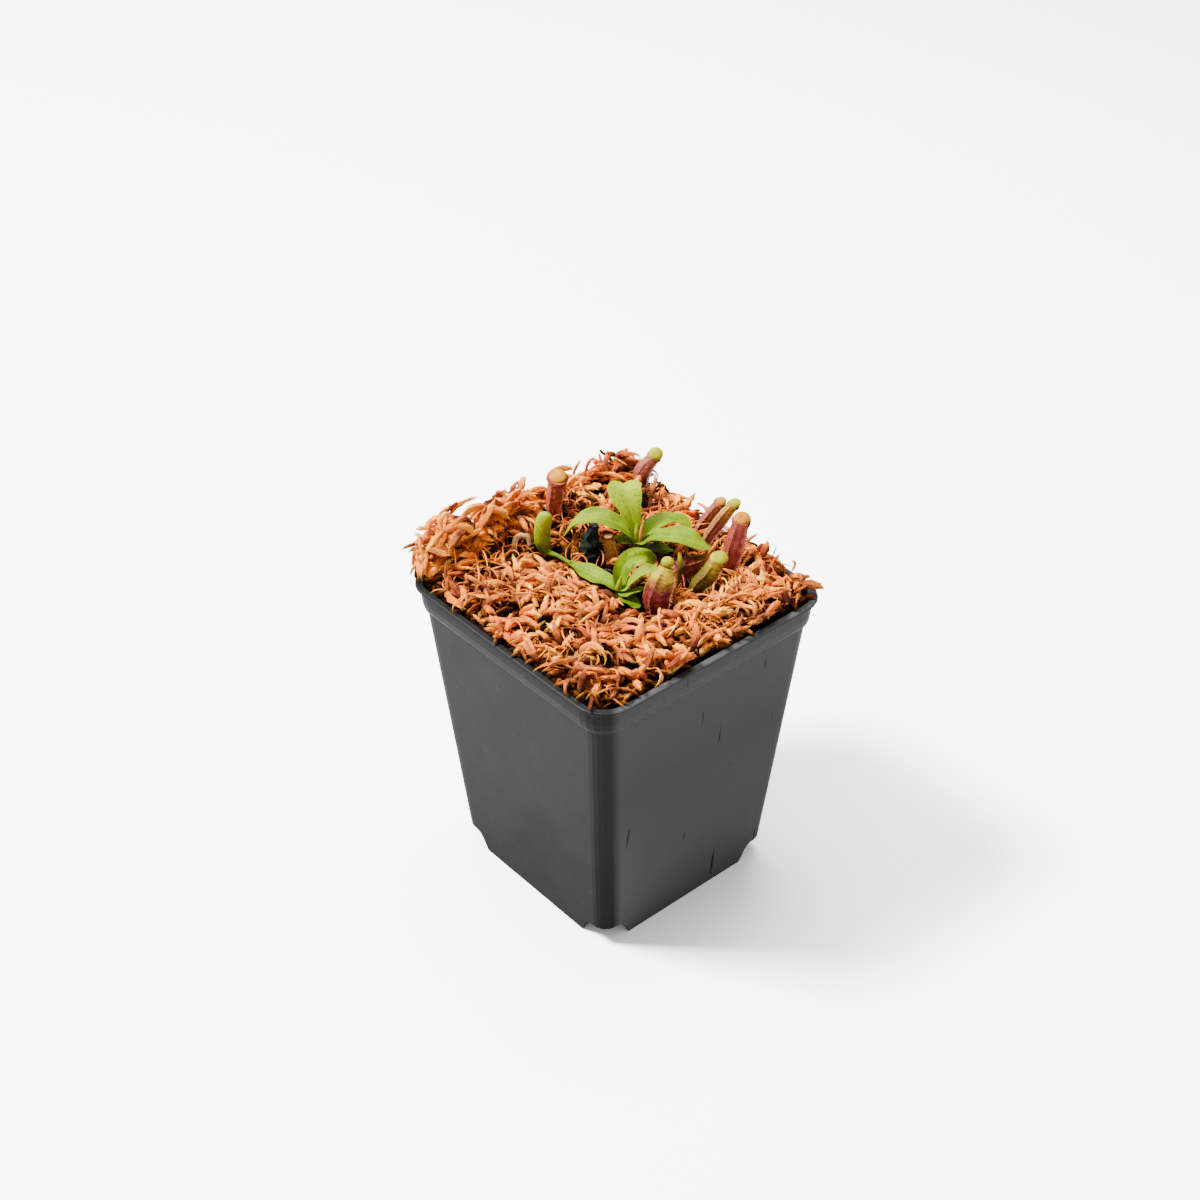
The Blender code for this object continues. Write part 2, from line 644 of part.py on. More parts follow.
def is_inside(tree, spot):
    """True if a line straight up from the spot leaves more bodies than it enters."""
    up = Vector((0.0, 0.0, 1.0))
    depth = 0
    near, normal, _, _ = tree.ray_cast(spot, up)
    while near:
        depth += 1 if normal.z > 0.0 else -1
        near, normal, _, _ = tree.ray_cast(near + up * (0.001 * MM), up)
    return depth > 0


def in_reach(here, reach, cushion):
    """True if a spot lies within the moss and, for a cushion, above the bed round it."""
    if max(abs(here.x), abs(here.y)) + reach > MOSS_REACH:
        return False
    if cushion:
        centre, halves, _ = CUSHIONS[cushion]
        far = math.hypot((here.x - centre[0]) / halves[0], (here.y - centre[1]) / halves[1])
        if far > 0.8 and here.z - reach < moss_height(here.x, here.y) + CUSHION_CLEARANCE:
            return False
    return True


def sprig_is_clear(points, width, obstacles, cushion):
    """True if a sprig stays in its reach and off everything near it."""
    foot, middle, tip = points
    for step in range(1, 11):
        share = step / 10.0
        here = foot.lerp(middle, 2.0 * share)
        if share > 0.5:
            here = middle.lerp(tip, 2.0 * share - 1.0)
        reach = 0.55 * width * (1.0 - 0.6 * share)
        if not in_reach(here, reach, cushion):
            return False
        for tree in obstacles:
            if tree.find_nearest(here * MM, (reach + GAP) * MM)[0] is not None:
                return False
            if is_inside(tree, here * MM):
                return False
    return True


def make_sprig(points, width, finish_name):
    """One sprig: a three-sided strand, bent once and tapered to its tip."""
    foot, middle, tip = points
    heading = tip - foot
    side = heading.cross(Vector((0.0, 0.0, 1.0))).normalized()
    up = side.cross(heading).normalized()
    bm = bmesh.new()
    loops = []
    for centre, wide in ((foot, 0.8 * width), (middle, width)):
        low = centre - up * (0.12 * width)
        corners = [low + side * (0.5 * wide), centre + up * (0.3 * width), low - side * (0.5 * wide)]
        loops.append(ring(bm, corners))
    skin(bm, loops)
    cap = [face for face in bm.faces if all(vert.index > 2 for vert in face.verts)]
    bmesh.ops.poke(bm, faces=cap)["verts"][0].co = tip
    return finish(bm, "sprig", finish_name)


def sow(places, obstacles, finish_name, cushion=None):
    """Sprigs at the given places, each drawn again until it is clear of its neighbours."""
    sprigs = []
    for number, place in enumerate(places):
        draw = random.Random(MOSS_SEED + number)
        near_rim = max(abs(place.x), abs(place.y)) > RIM_ZONE * MOSS_HALF
        for attempt in range(SPRIG_TRIES):
            size = draw.uniform(*SPRIG_LONG) * (1.0 - SPRIG_SHRINK * attempt)
            width = draw.uniform(*SPRIG_WIDE)
            lean = draw.uniform(*SPRIG_LEAN)
            heading = draw.uniform(0.0, math.tau)
            if near_rim and attempt < SPRIG_TRIES // 2:
                heading = math.atan2(place.y, place.x) + draw.uniform(-1.2, 1.2)
                lean = draw.uniform(*SPRIG_LEAN_AT_RIM)
            foot = place - Vector((0.0, 0.0, SPRIG_SINK))
            points = sprig_points(foot, lean, heading, size)
            if sprig_is_clear(points, width, obstacles, cushion):
                sprigs.append(make_sprig(points, width, finish_name))
                break
    return sprigs


def bed_places(draw):
    """Jittered places all over the moss bed."""
    count = round(2.0 * MOSS_HALF / SPRIG_STEP)
    places = []
    for row in range(count):
        for column in range(count):
            x = -MOSS_HALF + SPRIG_STEP * (column + 0.5 + draw.uniform(-0.35, 0.35))
            y = -MOSS_HALF + SPRIG_STEP * (row + 0.5 + draw.uniform(-0.35, 0.35))
            if max(abs(x), abs(y)) < MOSS_HALF - 1.4:
                places.append(Vector((x, y, moss_height(x, y))))
    return places


def cushion_places(name, draw):
    """Random places over the top of one pale cushion."""
    centre, halves, thick = CUSHIONS[name]
    places = []
    for _ in range(CUSHION_SPRIGS):
        angle = draw.uniform(0.0, math.tau)
        far = 0.75 * math.sqrt(draw.random())
        x = centre[0] + halves[0] * far * math.cos(angle)
        y = centre[1] + halves[1] * far * math.sin(angle)
        rise = 0.5 * thick * math.sqrt(1.0 - far * far)
        places.append(Vector((x, y, moss_height(x, y) + rise)))
    return places


def cushion_body(name, grow=0.0):
    """The flattened body of a pale cushion, half sunk in the bed."""
    centre, halves, thick = CUSHIONS[name]
    bm = bmesh.new()
    bmesh.ops.create_icosphere(bm, subdivisions=2, radius=1.0)
    for vert in bm.verts:
        x = centre[0] + vert.co.x * (halves[0] + grow)
        y = centre[1] + vert.co.y * (halves[1] + grow)
        z = moss_height(x, y) + vert.co.z * (0.5 * thick + grow)
        vert.co = (x, y, z)
    return finish(bm, name, "moss_pale")


def tree_of(things):
    """A search tree over the faces of several objects."""
    bm = bmesh.new()
    for thing in things:
        bm.from_mesh(thing.data)
    tree = BVHTree.FromBMesh(bm)
    bm.free()
    return tree


def make_moss(pot, plant):
    """The bed and its pale cushions, sprigged all over and holed for what stands there."""
    draw = random.Random(MOSS_SEED)
    fixed = tree_of(plant + [pot])
    cushions = {}
    for name in CUSHIONS:
        sprigs = sow(cushion_places(name, draw), [fixed], "moss_pale", cushion=name)
        cushions[name] = [cushion_body(name)] + sprigs
    soft = tree_of(flat_list(cushions))
    bed = make_moss_core()
    combine(bed, sow(bed_places(draw), [fixed, soft], "moss_rust"), "UNION")
    combine(bed, [cushion_body(name, GAP) for name in CUSHIONS], "DIFFERENCE")
    for body, *sprigs in cushions.values():
        combine(body, sprigs, "UNION")
    for moss in [bed] + [shapes[0] for shapes in cushions.values()]:
        combine(moss, flat_list(plant_shapes(GAP)), "DIFFERENCE")
        keep_largest(moss)


clear_scene()
POT = make_pot()
PIECES = plant_shapes()
make_moss(POT, flat_list(PIECES))
join_plant(PIECES)
open_drains(POT)
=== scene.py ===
"""Looks of a young pitcher plant in a square nursery pot, bedded in dried moss.

Shapes are worked out in millimetres and finished in metres, with +Z up and the pot's
walls facing along X and Y.
"""

import math
import random

import bmesh
import bpy
import numpy as np
from mathutils import Matrix, Vector, noise
from mathutils.bvhtree import BVHTree


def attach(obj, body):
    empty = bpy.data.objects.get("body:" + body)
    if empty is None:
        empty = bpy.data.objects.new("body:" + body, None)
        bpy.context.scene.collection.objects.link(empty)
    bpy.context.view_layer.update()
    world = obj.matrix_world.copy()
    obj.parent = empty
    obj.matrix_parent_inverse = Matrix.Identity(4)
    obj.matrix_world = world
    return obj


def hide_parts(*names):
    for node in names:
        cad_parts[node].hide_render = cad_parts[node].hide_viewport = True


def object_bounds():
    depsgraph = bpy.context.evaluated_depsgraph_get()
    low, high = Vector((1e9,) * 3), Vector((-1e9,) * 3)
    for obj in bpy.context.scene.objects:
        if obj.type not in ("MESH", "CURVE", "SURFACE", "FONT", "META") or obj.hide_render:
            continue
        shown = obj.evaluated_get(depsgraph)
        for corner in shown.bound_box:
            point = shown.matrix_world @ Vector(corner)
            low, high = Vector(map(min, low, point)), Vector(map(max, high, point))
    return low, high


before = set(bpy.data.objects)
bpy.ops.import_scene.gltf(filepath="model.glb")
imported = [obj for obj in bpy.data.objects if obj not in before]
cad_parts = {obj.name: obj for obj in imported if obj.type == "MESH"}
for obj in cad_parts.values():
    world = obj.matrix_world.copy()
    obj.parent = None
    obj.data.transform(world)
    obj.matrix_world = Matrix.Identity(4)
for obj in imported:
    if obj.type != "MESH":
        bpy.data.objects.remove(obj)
CAD_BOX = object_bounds()

MM = 0.001
GAP = 0.3

# Pot
RIM_WIDTH = 90.0
RIM_RING = 2.4
POT_HEIGHT = 101.3
WALL = 0.9
WALL_TOP_WIDTH = 82.8
BASE_WIDTH = 66.8
COLLAR_FOOT = 91.6
BASE_CORNER = 4.6
FLOOR_TOP = 4.5

# Moss
MOSS_HALF = 41.6
MOSS_CORNER = 7.0
MOSS_LEVEL = 101.2
MOSS_EDGE = 100.4
EDGE_START = 0.82
EDGE_FADE = 0.6
RIM_ZONE = 0.88
MOSS_SWELLS = (
    ((-36.0, 4.0), 26.0, 7.4),
    ((-34.0, 34.0), 22.0, 8.0),
    ((-42.0, -26.0), 17.0, 9.0),
    ((8.0, 38.0), 24.0, 3.0),
    ((36.0, 30.0), 18.0, 1.4),
    ((-8.0, -24.0), 20.0, 1.8),
    ((30.0, -10.0), 16.0, 1.6),
    ((4.0, 2.0), 17.0, -0.8),
)
# Height of the strand tips along the back left edge, by Y
CREST = ((-45.0, 114.0), (-42.0, 117.0), (-34.0, 122.0), (-30.0, 124.0), (-25.0, 121.5),
         (-19.0, 124.5), (-15.0, 121.0), (-11.0, 118.0), (-3.5, 121.5), (1.0, 118.5),
         (8.0, 117.0), (16.0, 116.0), (25.0, 119.0), (31.0, 116.0), (37.0, 115.5), (45.0, 111.5))
CREST_EDGE = -34.0

# Dark hollows among the shoots, as a middle and a width
HOLLOWS = (((-9.6, 7.2), 4.5), ((0.0, 20.0), 4.0), ((11.6, 18.0), 4.0), ((-15.0, 3.0), 3.0),
           ((3.0, 6.0), 3.0))

# Pale tufts that spread to all sides
STARS = ((25.5, 27.0), (30.0, 20.0), (23.0, 21.0), (33.0, 27.0), (-8.0, -17.0), (-2.0, -13.0))

CUSHIONS = {
    "moss_pale_front": ((-3.0, -16.5), (9.5, 6.0), 4.4),
    "moss_pale_right": ((31.0, 12.0), (6.5, 9.0), 4.4),
    "moss_pale_back": ((-12.0, 33.5), (7.5, 6.0), 4.4),
    "moss_pale_left": ((-36.0, -20.0), (5.0, 7.0), 4.4),
}


# Shape helpers

def linear(code):
    """A colour code as the linear values the shader takes."""
    values = [int(code[i:i + 2], 16) / 255.0 for i in (1, 3, 5)]
    return tuple(v / 12.92 if v <= 0.04045 else ((v + 0.055) / 1.055) ** 2.4
                 for v in values) + (1.0,)


def tint(colour):
    """A colour code, a grey or three linear values as a socket value."""
    if isinstance(colour, str):
        return linear(colour)
    if isinstance(colour, (int, float)):
        return (colour,) * 3 + (1.0,)
    return tuple(colour) + (1.0,)


def piece_from(bm, name, finish, replaced=(), smooth=60.0):
    """Finish a mesh in millimetres as a shown piece in metres."""
    bmesh.ops.recalc_face_normals(bm, faces=bm.faces)
    bmesh.ops.scale(bm, vec=(MM, MM, MM), verts=bm.verts)
    mesh = bpy.data.meshes.new(name)
    bm.to_mesh(mesh)
    bm.free()
    return show_mesh(mesh, name, finish, replaced, smooth)


def show_mesh(mesh, name, finish, replaced=(), smooth=60.0):
    """Link a finished mesh as a piece that stands for some of the solids."""
    mesh.materials.clear()
    mesh.materials.append(finish)
    mesh.shade_smooth()
    mesh.set_sharp_from_angle(angle=math.radians(smooth))
    thing = bpy.data.objects.new(name, mesh)
    bpy.context.scene.collection.objects.link(thing)
    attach(thing, "root")
    if replaced:
        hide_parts(*replaced)
    return thing


def ring(bm, points):
    """One closed loop of edges through the given points."""
    verts = bmesh.ops.create_circle(bm, segments=len(points), radius=1.0)["verts"]
    for vert, point in zip(verts, points):
        vert.co = point
    return [bm.edges.get((a, b)) for a, b in zip(verts, verts[1:] + verts[:1])]


def skin(bm, loops):
    """A closed body over a row of loops, with a flat cap at each end."""
    for near, far in zip(loops, loops[1:]):
        bmesh.ops.bridge_loops(bm, edges=near + far)
    for end in (loops[0], loops[-1]):
        bmesh.ops.contextual_create(bm, geom=end)


def square_ring(half, radius, z, corner_steps, side_steps):
    """Points round a square with round corners and some more along its sides."""
    points = []
    inner = half - radius
    for quarter in range(4):
        turn = Matrix.Rotation(math.radians(90.0 * quarter), 3, "Z")
        for step in range(corner_steps + 1):
            angle = math.radians(90.0 * step / corner_steps)
            points.append(turn @ Vector((inner + radius * math.cos(angle),
                                         inner + radius * math.sin(angle), z)))
        for step in range(1, side_steps + 1):
            share = step / (side_steps + 1)
            points.append(turn @ Vector((inner - 2.0 * inner * share, half, z)))
    return points


def curve_point(points, share):
    """A point on the smooth curve through a few control points, share 0 to 1."""
    spans = len(points) - 1
    place = min(max(share, 0.0), 1.0) * spans
    index = min(int(place), spans - 1)
    t = place - index
    b, c = points[index], points[index + 1]
    a = points[index - 1] if index else b * 2.0 - c
    d = points[index + 2] if index + 2 <= spans else c * 2.0 - b
    return 0.5 * (2.0 * b + (c - a) * t + (2.0 * a - 5.0 * b + 4.0 * c - d) * t * t
                  + (3.0 * b - a - 3.0 * c + d) * t * t * t)


def curve_frame(points, share, front):
    """A point on the curve with its direction, front and side."""
    within = min(max(share, 0.0), 1.0)
    here = curve_point(points, within)
    along = (curve_point(points, within + 0.02) - curve_point(points, within - 0.02)).normalized()
    side = along.cross(front).normalized()
    return here, along, side.cross(along), side


def blended(values, share):
    """A value between the given ones, eased from each to the next."""
    place = min(max(share, 0.0), 1.0) * (len(values) - 1)
    index = min(int(place), len(values) - 2)
    t = place - index
    t = t * t * (3.0 - 2.0 * t) * 0.5 + t * 0.5
    return values[index] * (1.0 - t) + values[index + 1] * t


# Materials

class Shade:
    """A material under construction, with short ways to add and link its nodes."""

    def __init__(self, name, roughness, **sockets):
        self.material = bpy.data.materials.new(name)
        self.material.use_nodes = True
        self.tree = self.material.node_tree
        self.shader = self.tree.nodes["Principled BSDF"]
        self.shader.inputs["Roughness"].default_value = roughness
        for socket, value in sockets.items():
            self.shader.inputs[socket.replace("_", " ")].default_value = value

    def node(self, kind, **settings):
        made = self.tree.nodes.new(kind)
        for key, value in settings.items():
            if key in made.inputs:
                made.inputs[key].default_value = value
            else:
                setattr(made, key, value)
        return made

    def link(self, source, target):
        self.tree.links.new(source, target)

    def attribute(self, name):
        return self.node("ShaderNodeAttribute", attribute_name=name).outputs["Fac"]

    def grain(self, scale, detail=3.0, stretch=(1.0, 1.0, 1.0), rough=0.55):
        place = self.node("ShaderNodeTexCoord").outputs["Object"]
        mapping = self.node("ShaderNodeMapping")
        mapping.inputs["Scale"].default_value = stretch
        self.link(place, mapping.inputs["Vector"])
        made = self.node("ShaderNodeTexNoise")
        made.inputs["Scale"].default_value = scale
        made.inputs["Detail"].default_value = detail
        made.inputs["Roughness"].default_value = rough
        self.link(mapping.outputs["Vector"], made.inputs["Vector"])
        return made.outputs["Fac"]

    def streaks(self, fine, slow):
        """Fine lines that run the length of a leaf or a pitcher."""
        place = self.node("ShaderNodeCombineXYZ")
        self.link(self.sum_of((self.attribute("across"), fine)), place.inputs["X"])
        self.link(self.sum_of((self.attribute("along"), slow)), place.inputs["Y"])
        made = self.node("ShaderNodeTexNoise", Scale=1.0, Detail=2.0)
        self.link(place.outputs["Vector"], made.inputs["Vector"])
        return made.outputs["Fac"]

    def sum_of(self, *terms):
        """The sum of sockets times factors, given as (socket or number, factor)."""
        total = None
        for source, factor in terms:
            step = self.node("ShaderNodeMath", operation="MULTIPLY_ADD")
            step.inputs[1].default_value = factor
            step.inputs[2].default_value = 0.0
            if isinstance(source, (int, float)):
                step.inputs[0].default_value = source
            else:
                self.link(source, step.inputs[0])
            if total is not None:
                self.link(total, step.inputs[2])
            total = step.outputs[0]
        return total

    def ramp(self, source, stops, ease="LINEAR"):
        made = self.node("ShaderNodeValToRGB")
        made.color_ramp.interpolation = ease
        while len(made.color_ramp.elements) < len(stops):
            made.color_ramp.elements.new(0.5)
        for element, (place, colour) in zip(made.color_ramp.elements, stops):
            element.position = place
            element.color = tint(colour)
        self.link(source, made.inputs["Fac"])
        return made.outputs["Color"]

    def mix(self, share, first, second, mode="MIX"):
        made = self.node("ShaderNodeMix", data_type="RGBA", blend_type=mode)
        for value, socket in ((share, made.inputs[0]), (first, made.inputs[6]),
                              (second, made.inputs[7])):
            if isinstance(value, (str, tuple)):
                socket.default_value = tint(value)
            elif isinstance(value, (int, float)):
                socket.default_value = value
            else:
                self.link(value, socket)
        return made.outputs[2]

    def colour(self, source):
        self.link(source, self.shader.inputs["Base Color"])

    def bump(self, source, strength, distance):
        made = self.node("ShaderNodeBump")
        made.inputs["Strength"].default_value = strength
        made.inputs["Distance"].default_value = distance * MM
        self.link(source, made.inputs["Height"])
        self.link(made.outputs["Normal"], self.shader.inputs["Normal"])


def moss_finish(name, rusty, creamy, lean):
    """Dried moss: a tone and a hue for each strand, pale at its tip, with painted shade that darkens
    it deep down among the strands.
    """
    shade = Shade(name, 0.85, Specular_IOR_Level=0.05, Subsurface_Weight=0.05,
                  Subsurface_Scale=0.001)
    shade.shader.inputs["Subsurface Radius"].default_value = (1.0, 0.5, 0.25)
    tip = shade.ramp(shade.attribute("along"), ((0.15, 0.0), (1.0, 1.0)))
    tone = shade.sum_of((shade.attribute("tone"), 0.8), (tip, 0.5),
                        (shade.grain(520.0, 4.0), 0.9), (1.0, -0.62))
    hue = shade.sum_of((shade.attribute("hue"), 1.1), (tip, 0.55), (shade.grain(300.0), 0.7),
                       (1.0, lean))
    ground = shade.mix(hue, shade.ramp(tone, rusty), shade.ramp(tone, creamy))
    # Painted shade: the lower a point of a strand sits among the others, the darker it is painted.
    gap_shade = shade.ramp(shade.attribute("unshaded"), ((0.0, 0.03), (0.3, 0.16), (0.75, 1.0)))
    shade.colour(shade.mix(1.0, ground, gap_shade, "MULTIPLY"))
    shade.bump(shade.grain(1300.0), 0.7, 0.4)
    return shade.material


def leaf_finish():
    """Fresh leaf: yellow-green with long veins and fine specks, brown at an aged tip."""
    shade = Shade("fresh_leaf", 0.4, Subsurface_Weight=0.05, Subsurface_Scale=0.002,
                  Specular_IOR_Level=0.1)
    shade.shader.inputs["Subsurface Radius"].default_value = (0.6, 1.0, 0.2)
    veins = shade.streaks(22.0, 2.5)
    tone = shade.sum_of((shade.attribute("along"), 0.25), (shade.grain(150.0), 0.7),
                        (veins, 0.7), (shade.attribute("tone"), 0.5), (1.0, -0.6))
    body = shade.ramp(tone, ((0.1, (0.035, 0.08, 0.0002)), (0.45, (0.125, 0.2, 0.0002)),
                             (0.8, (0.27, 0.33, 0.0003))))
    rib = shade.ramp(shade.attribute("across"), ((0.0, 0.4), (0.06, 0.15), (0.12, 0.0),
                                                 (0.88, 0.0), (1.0, 0.35)))
    ribbed = shade.mix(rib, body, (0.3, 0.36, 0.001))
    specks = shade.ramp(shade.grain(1700.0, 1.0), ((0.32, 1.0), (0.42, 0.0)))
    speckled = shade.mix(shade.sum_of((specks, 0.65)), ribbed, (0.03, 0.08, 0.0003))
    worn = shade.sum_of((shade.attribute("along"), 1.0), (shade.grain(500.0), 0.14),
                        (shade.attribute("age"), 1.0), (1.0, -1.07))
    brown = shade.ramp(worn, ((0.86, 0.0), (0.95, 1.0)))
    shade.colour(shade.mix(brown, speckled, (0.2, 0.075, 0.01)))
    shade.bump(shade.sum_of((shade.grain(800.0, 2.0), 0.6), (veins, 1.0)), 0.35, 0.3)
    return shade.material


def pitcher_finish(name, foot, body, top, streak, share=0.5, margin=None, turn=0.66):
    """Pitcher skin: its colour changes from foot to mouth, with blotches and long streaks."""
    shade = Shade(name, 0.42, Subsurface_Weight=0.08, Subsurface_Scale=0.0015,
                  Specular_IOR_Level=0.15)
    shade.shader.inputs["Subsurface Radius"].default_value = (1.0, 0.45, 0.25)
    place = shade.sum_of((shade.attribute("along"), 1.0), (shade.grain(260.0), 0.36),
                         (1.0, -0.18))
    ground = shade.ramp(place, ((0.0, foot), (0.38, body), (turn, body), (turn + 0.25, top)))
    mottle = shade.sum_of((shade.grain(700.0, 4.0, (1.0, 1.0, 0.6), 0.65), 0.6),
                          (shade.streaks(9.0, 3.0), 0.5))
    blotch = shade.ramp(mottle, ((0.5, 0.0), (0.62, 1.0)))
    marked = shade.mix(shade.sum_of((blotch, share)), ground, streak)
    if margin:
        edge = shade.sum_of((shade.attribute("across"), 1.0), (shade.grain(500.0), 0.16))
        marked = shade.mix(shade.ramp(edge, ((0.53, 0.0), (0.64, 1.0))), marked, margin)
    shade.colour(marked)
    shade.bump(shade.sum_of((shade.grain(1100.0, 2.0), 1.0), (shade.streaks(20.0, 3.0), 0.8)),
               0.5, 0.3)
    return shade.material


def plain_finish(name, dark, light, roughness, scale=700.0, stretch=(1.0, 1.0, 1.0)):
    """A small dry piece: two tones mixed by a fine grain."""
    shade = Shade(name, roughness, Specular_IOR_Level=0.12)
    shade.colour(shade.ramp(shade.grain(scale, 3.0, stretch), ((0.3, dark), (0.7, light))))
    shade.bump(shade.grain(1600.0), 0.5, 0.3)
    return shade.material


def pot_finish():
    """Satin black plastic with scuffs and a few specks of dust; its right side is painted lighter and
    its left side darker, as painted light and shade.
    """
    shade = Shade("pot_plastic", 0.42, Specular_IOR_Level=0.06)
    place = shade.node("ShaderNodeSeparateXYZ")
    shade.link(shade.node("ShaderNodeTexCoord").outputs["Object"], place.inputs["Vector"])
    rise = shade.sum_of((place.outputs["Z"], 1.0 / (POT_HEIGHT * MM)), (shade.grain(28.0, 4.0), 0.06),
                        (1.0, -0.03))
    # Painted shade on the left face: darkest at the foot and lighter towards the top.
    left_painted_shade = shade.ramp(rise, ((0.0, (0.0005, 0.0005, 0.0005)), (0.5, (0.0085, 0.0085, 0.0087)),
                               (1.0, (0.012, 0.012, 0.0122))))
    # Painted light on the right face: lightest at the foot.
    right_painted_light = shade.ramp(rise, ((0.0, (0.074, 0.074, 0.074)), (0.6, (0.046, 0.046, 0.046)),
                              (1.0, (0.05, 0.05, 0.05))))
    # Mask that turns from the left face to the right one at the front corner. It sets where each
    # side's painted light and shade go, and plain below is the base colour that carries them.
    side = shade.sum_of((place.outputs["X"], 0.1 / MM), (place.outputs["Y"], 0.1 / MM))
    plain = shade.mix(shade.ramp(side, ((0.35, 0.0), (0.7, 1.0))), left_painted_shade, right_painted_light)
    scuff = shade.ramp(shade.grain(420.0, 2.0, (1.0, 1.0, 0.06)), ((0.7, 0.0), (0.74, 1.0)))
    scuffed = shade.mix(shade.sum_of((scuff, 0.9)), plain, (0.003, 0.003, 0.003))
    dust = shade.ramp(shade.grain(700.0, 1.0), ((0.74, 0.0), (0.78, 1.0)))
    shade.colour(shade.mix(shade.sum_of((dust, 0.3)), scuffed, (0.08, 0.08, 0.078)))
    rough = shade.ramp(shade.grain(90.0, 5.0), ((0.3, 0.4), (0.7, 0.45)))
    shade.link(rough, shade.shader.inputs["Roughness"])
    shade.bump(shade.grain(2600.0, 2.0), 0.12, 0.1)
    return shade.material


RUST_TONES = ((0.0, (0.06, 0.013, 0.006)), (0.3, (0.24, 0.045, 0.012)),
              (0.55, (0.58, 0.11, 0.014)), (0.8, (0.9, 0.18, 0.008)),
              (1.0, (0.98, 0.25, 0.01)))
CREAM_TONES = ((0.0, (0.13, 0.035, 0.014)), (0.3, (0.45, 0.12, 0.025)),
               (0.6, (0.86, 0.24, 0.018)), (0.85, (0.98, 0.36, 0.022)),
               (1.0, (1.0, 0.52, 0.07)))

FINISH = {
    "leaf": leaf_finish(),
    "stem": pitcher_finish("stem_skin", (0.16, 0.16, 0.006), (0.2, 0.26, 0.004),
                           (0.24, 0.32, 0.003), (0.24, 0.2, 0.02), 0.3),
    "crimson": pitcher_finish("pitcher_crimson", (0.11, 0.018, 0.014), (0.17, 0.022, 0.022),
                              (0.22, 0.035, 0.026), (0.4, 0.11, 0.045), 0.4),
    "salmon": pitcher_finish("pitcher_salmon", (0.13, 0.018, 0.026), (0.36, 0.075, 0.04),
                             (0.42, 0.09, 0.045), (0.13, 0.013, 0.02), 0.7),
    "purple": pitcher_finish("pitcher_purple", (0.14, 0.03, 0.02), (0.2, 0.04, 0.04),
                             (0.27, 0.07, 0.05), (0.45, 0.16, 0.07)),
    "maroon": pitcher_finish("pitcher_maroon", (0.06, 0.01, 0.006), (0.12, 0.018, 0.01),
                             (0.3, 0.09, 0.02), (0.24, 0.05, 0.02), 0.3),
    "tan": pitcher_finish("pitcher_tan", (0.16, 0.035, 0.02), (0.2, 0.045, 0.035),
                          (0.42, 0.2, 0.02), (0.34, 0.16, 0.03), 0.5, (0.36, 0.32, 0.01)),
    "belly": pitcher_finish("pitcher_belly", (0.075, 0.01, 0.008), (0.085, 0.01, 0.01),
                            (0.36, 0.27, 0.006), (0.2, 0.03, 0.02), 0.4,
                            (0.16, 0.17, 0.003), 0.6),
    "green": pitcher_finish("pitcher_green", (0.03, 0.034, 0.002), (0.065, 0.066, 0.003),
                            (0.24, 0.2, 0.006), (0.13, 0.03, 0.008), 0.5),
    "withered": pitcher_finish("pitcher_withered", (0.28, 0.14, 0.03), (0.36, 0.22, 0.035),
                               (0.45, 0.3, 0.04), (0.16, 0.04, 0.03)),
    "lid": plain_finish("lid_skin", (0.36, 0.1, 0.005), (0.52, 0.24, 0.003), 0.45, 500.0),
    "lid_green": plain_finish("lid_green_skin", (0.22, 0.21, 0.001), (0.4, 0.35, 0.001), 0.45,
                              500.0),
    "rim": plain_finish("mouth_rim", (0.1, 0.01, 0.014), (0.24, 0.035, 0.03), 0.35, 900.0),
    "fringe": plain_finish("wing_hairs", (0.4, 0.12, 0.05), (0.62, 0.26, 0.1), 0.6, 900.0),
    "dead": plain_finish("blackened", (0.003, 0.005, 0.005), (0.014, 0.02, 0.018), 0.85),
    "dry": plain_finish("dry_leaf", (0.3, 0.1, 0.02), (0.65, 0.28, 0.05), 0.8, 500.0),
    "pale_dry": plain_finish("dry_curl", (0.32, 0.16, 0.06), (0.66, 0.42, 0.22), 0.8, 500.0),
    "plum": plain_finish("dark_leaf", (0.02, 0.01, 0.013), (0.06, 0.03, 0.035), 0.7),
    "twig": plain_finish("dark_twig", (0.014, 0.007, 0.006), (0.07, 0.035, 0.02), 0.8),
    "moss": moss_finish("moss_rust", RUST_TONES, CREAM_TONES, -0.5),
    "moss_pale": moss_finish("moss_pale", RUST_TONES, CREAM_TONES, 0.0),
    "pot": pot_finish(),
}


# Moss

def moss_height(x, y):
    """Height of the moss under its strands."""
    out = max(abs(x), abs(y)) / MOSS_HALF
    edge = min(1.0, max(0.0, (out - EDGE_START) / (1.0 - EDGE_START)))
    height = MOSS_LEVEL + (MOSS_EDGE - MOSS_LEVEL) * edge
    for centre, width, rise in MOSS_SWELLS:
        far = math.hypot(x - centre[0], y - centre[1]) / width
        height += rise * math.exp(-2.0 * far * far) * (1.0 - EDGE_FADE * edge * edge)
    height += 0.5 * math.sin(0.45 * x + 1.0) * math.cos(0.5 * y)
    return height


def moss_slope(x, y):
    """The upward normal of the moss."""
    along_x = (moss_height(x + 1.0, y) - moss_height(x - 1.0, y)) / 2.0
    along_y = (moss_height(x, y + 1.0) - moss_height(x, y - 1.0)) / 2.0
    return Vector((-along_x, -along_y, 1.0)).normalized()


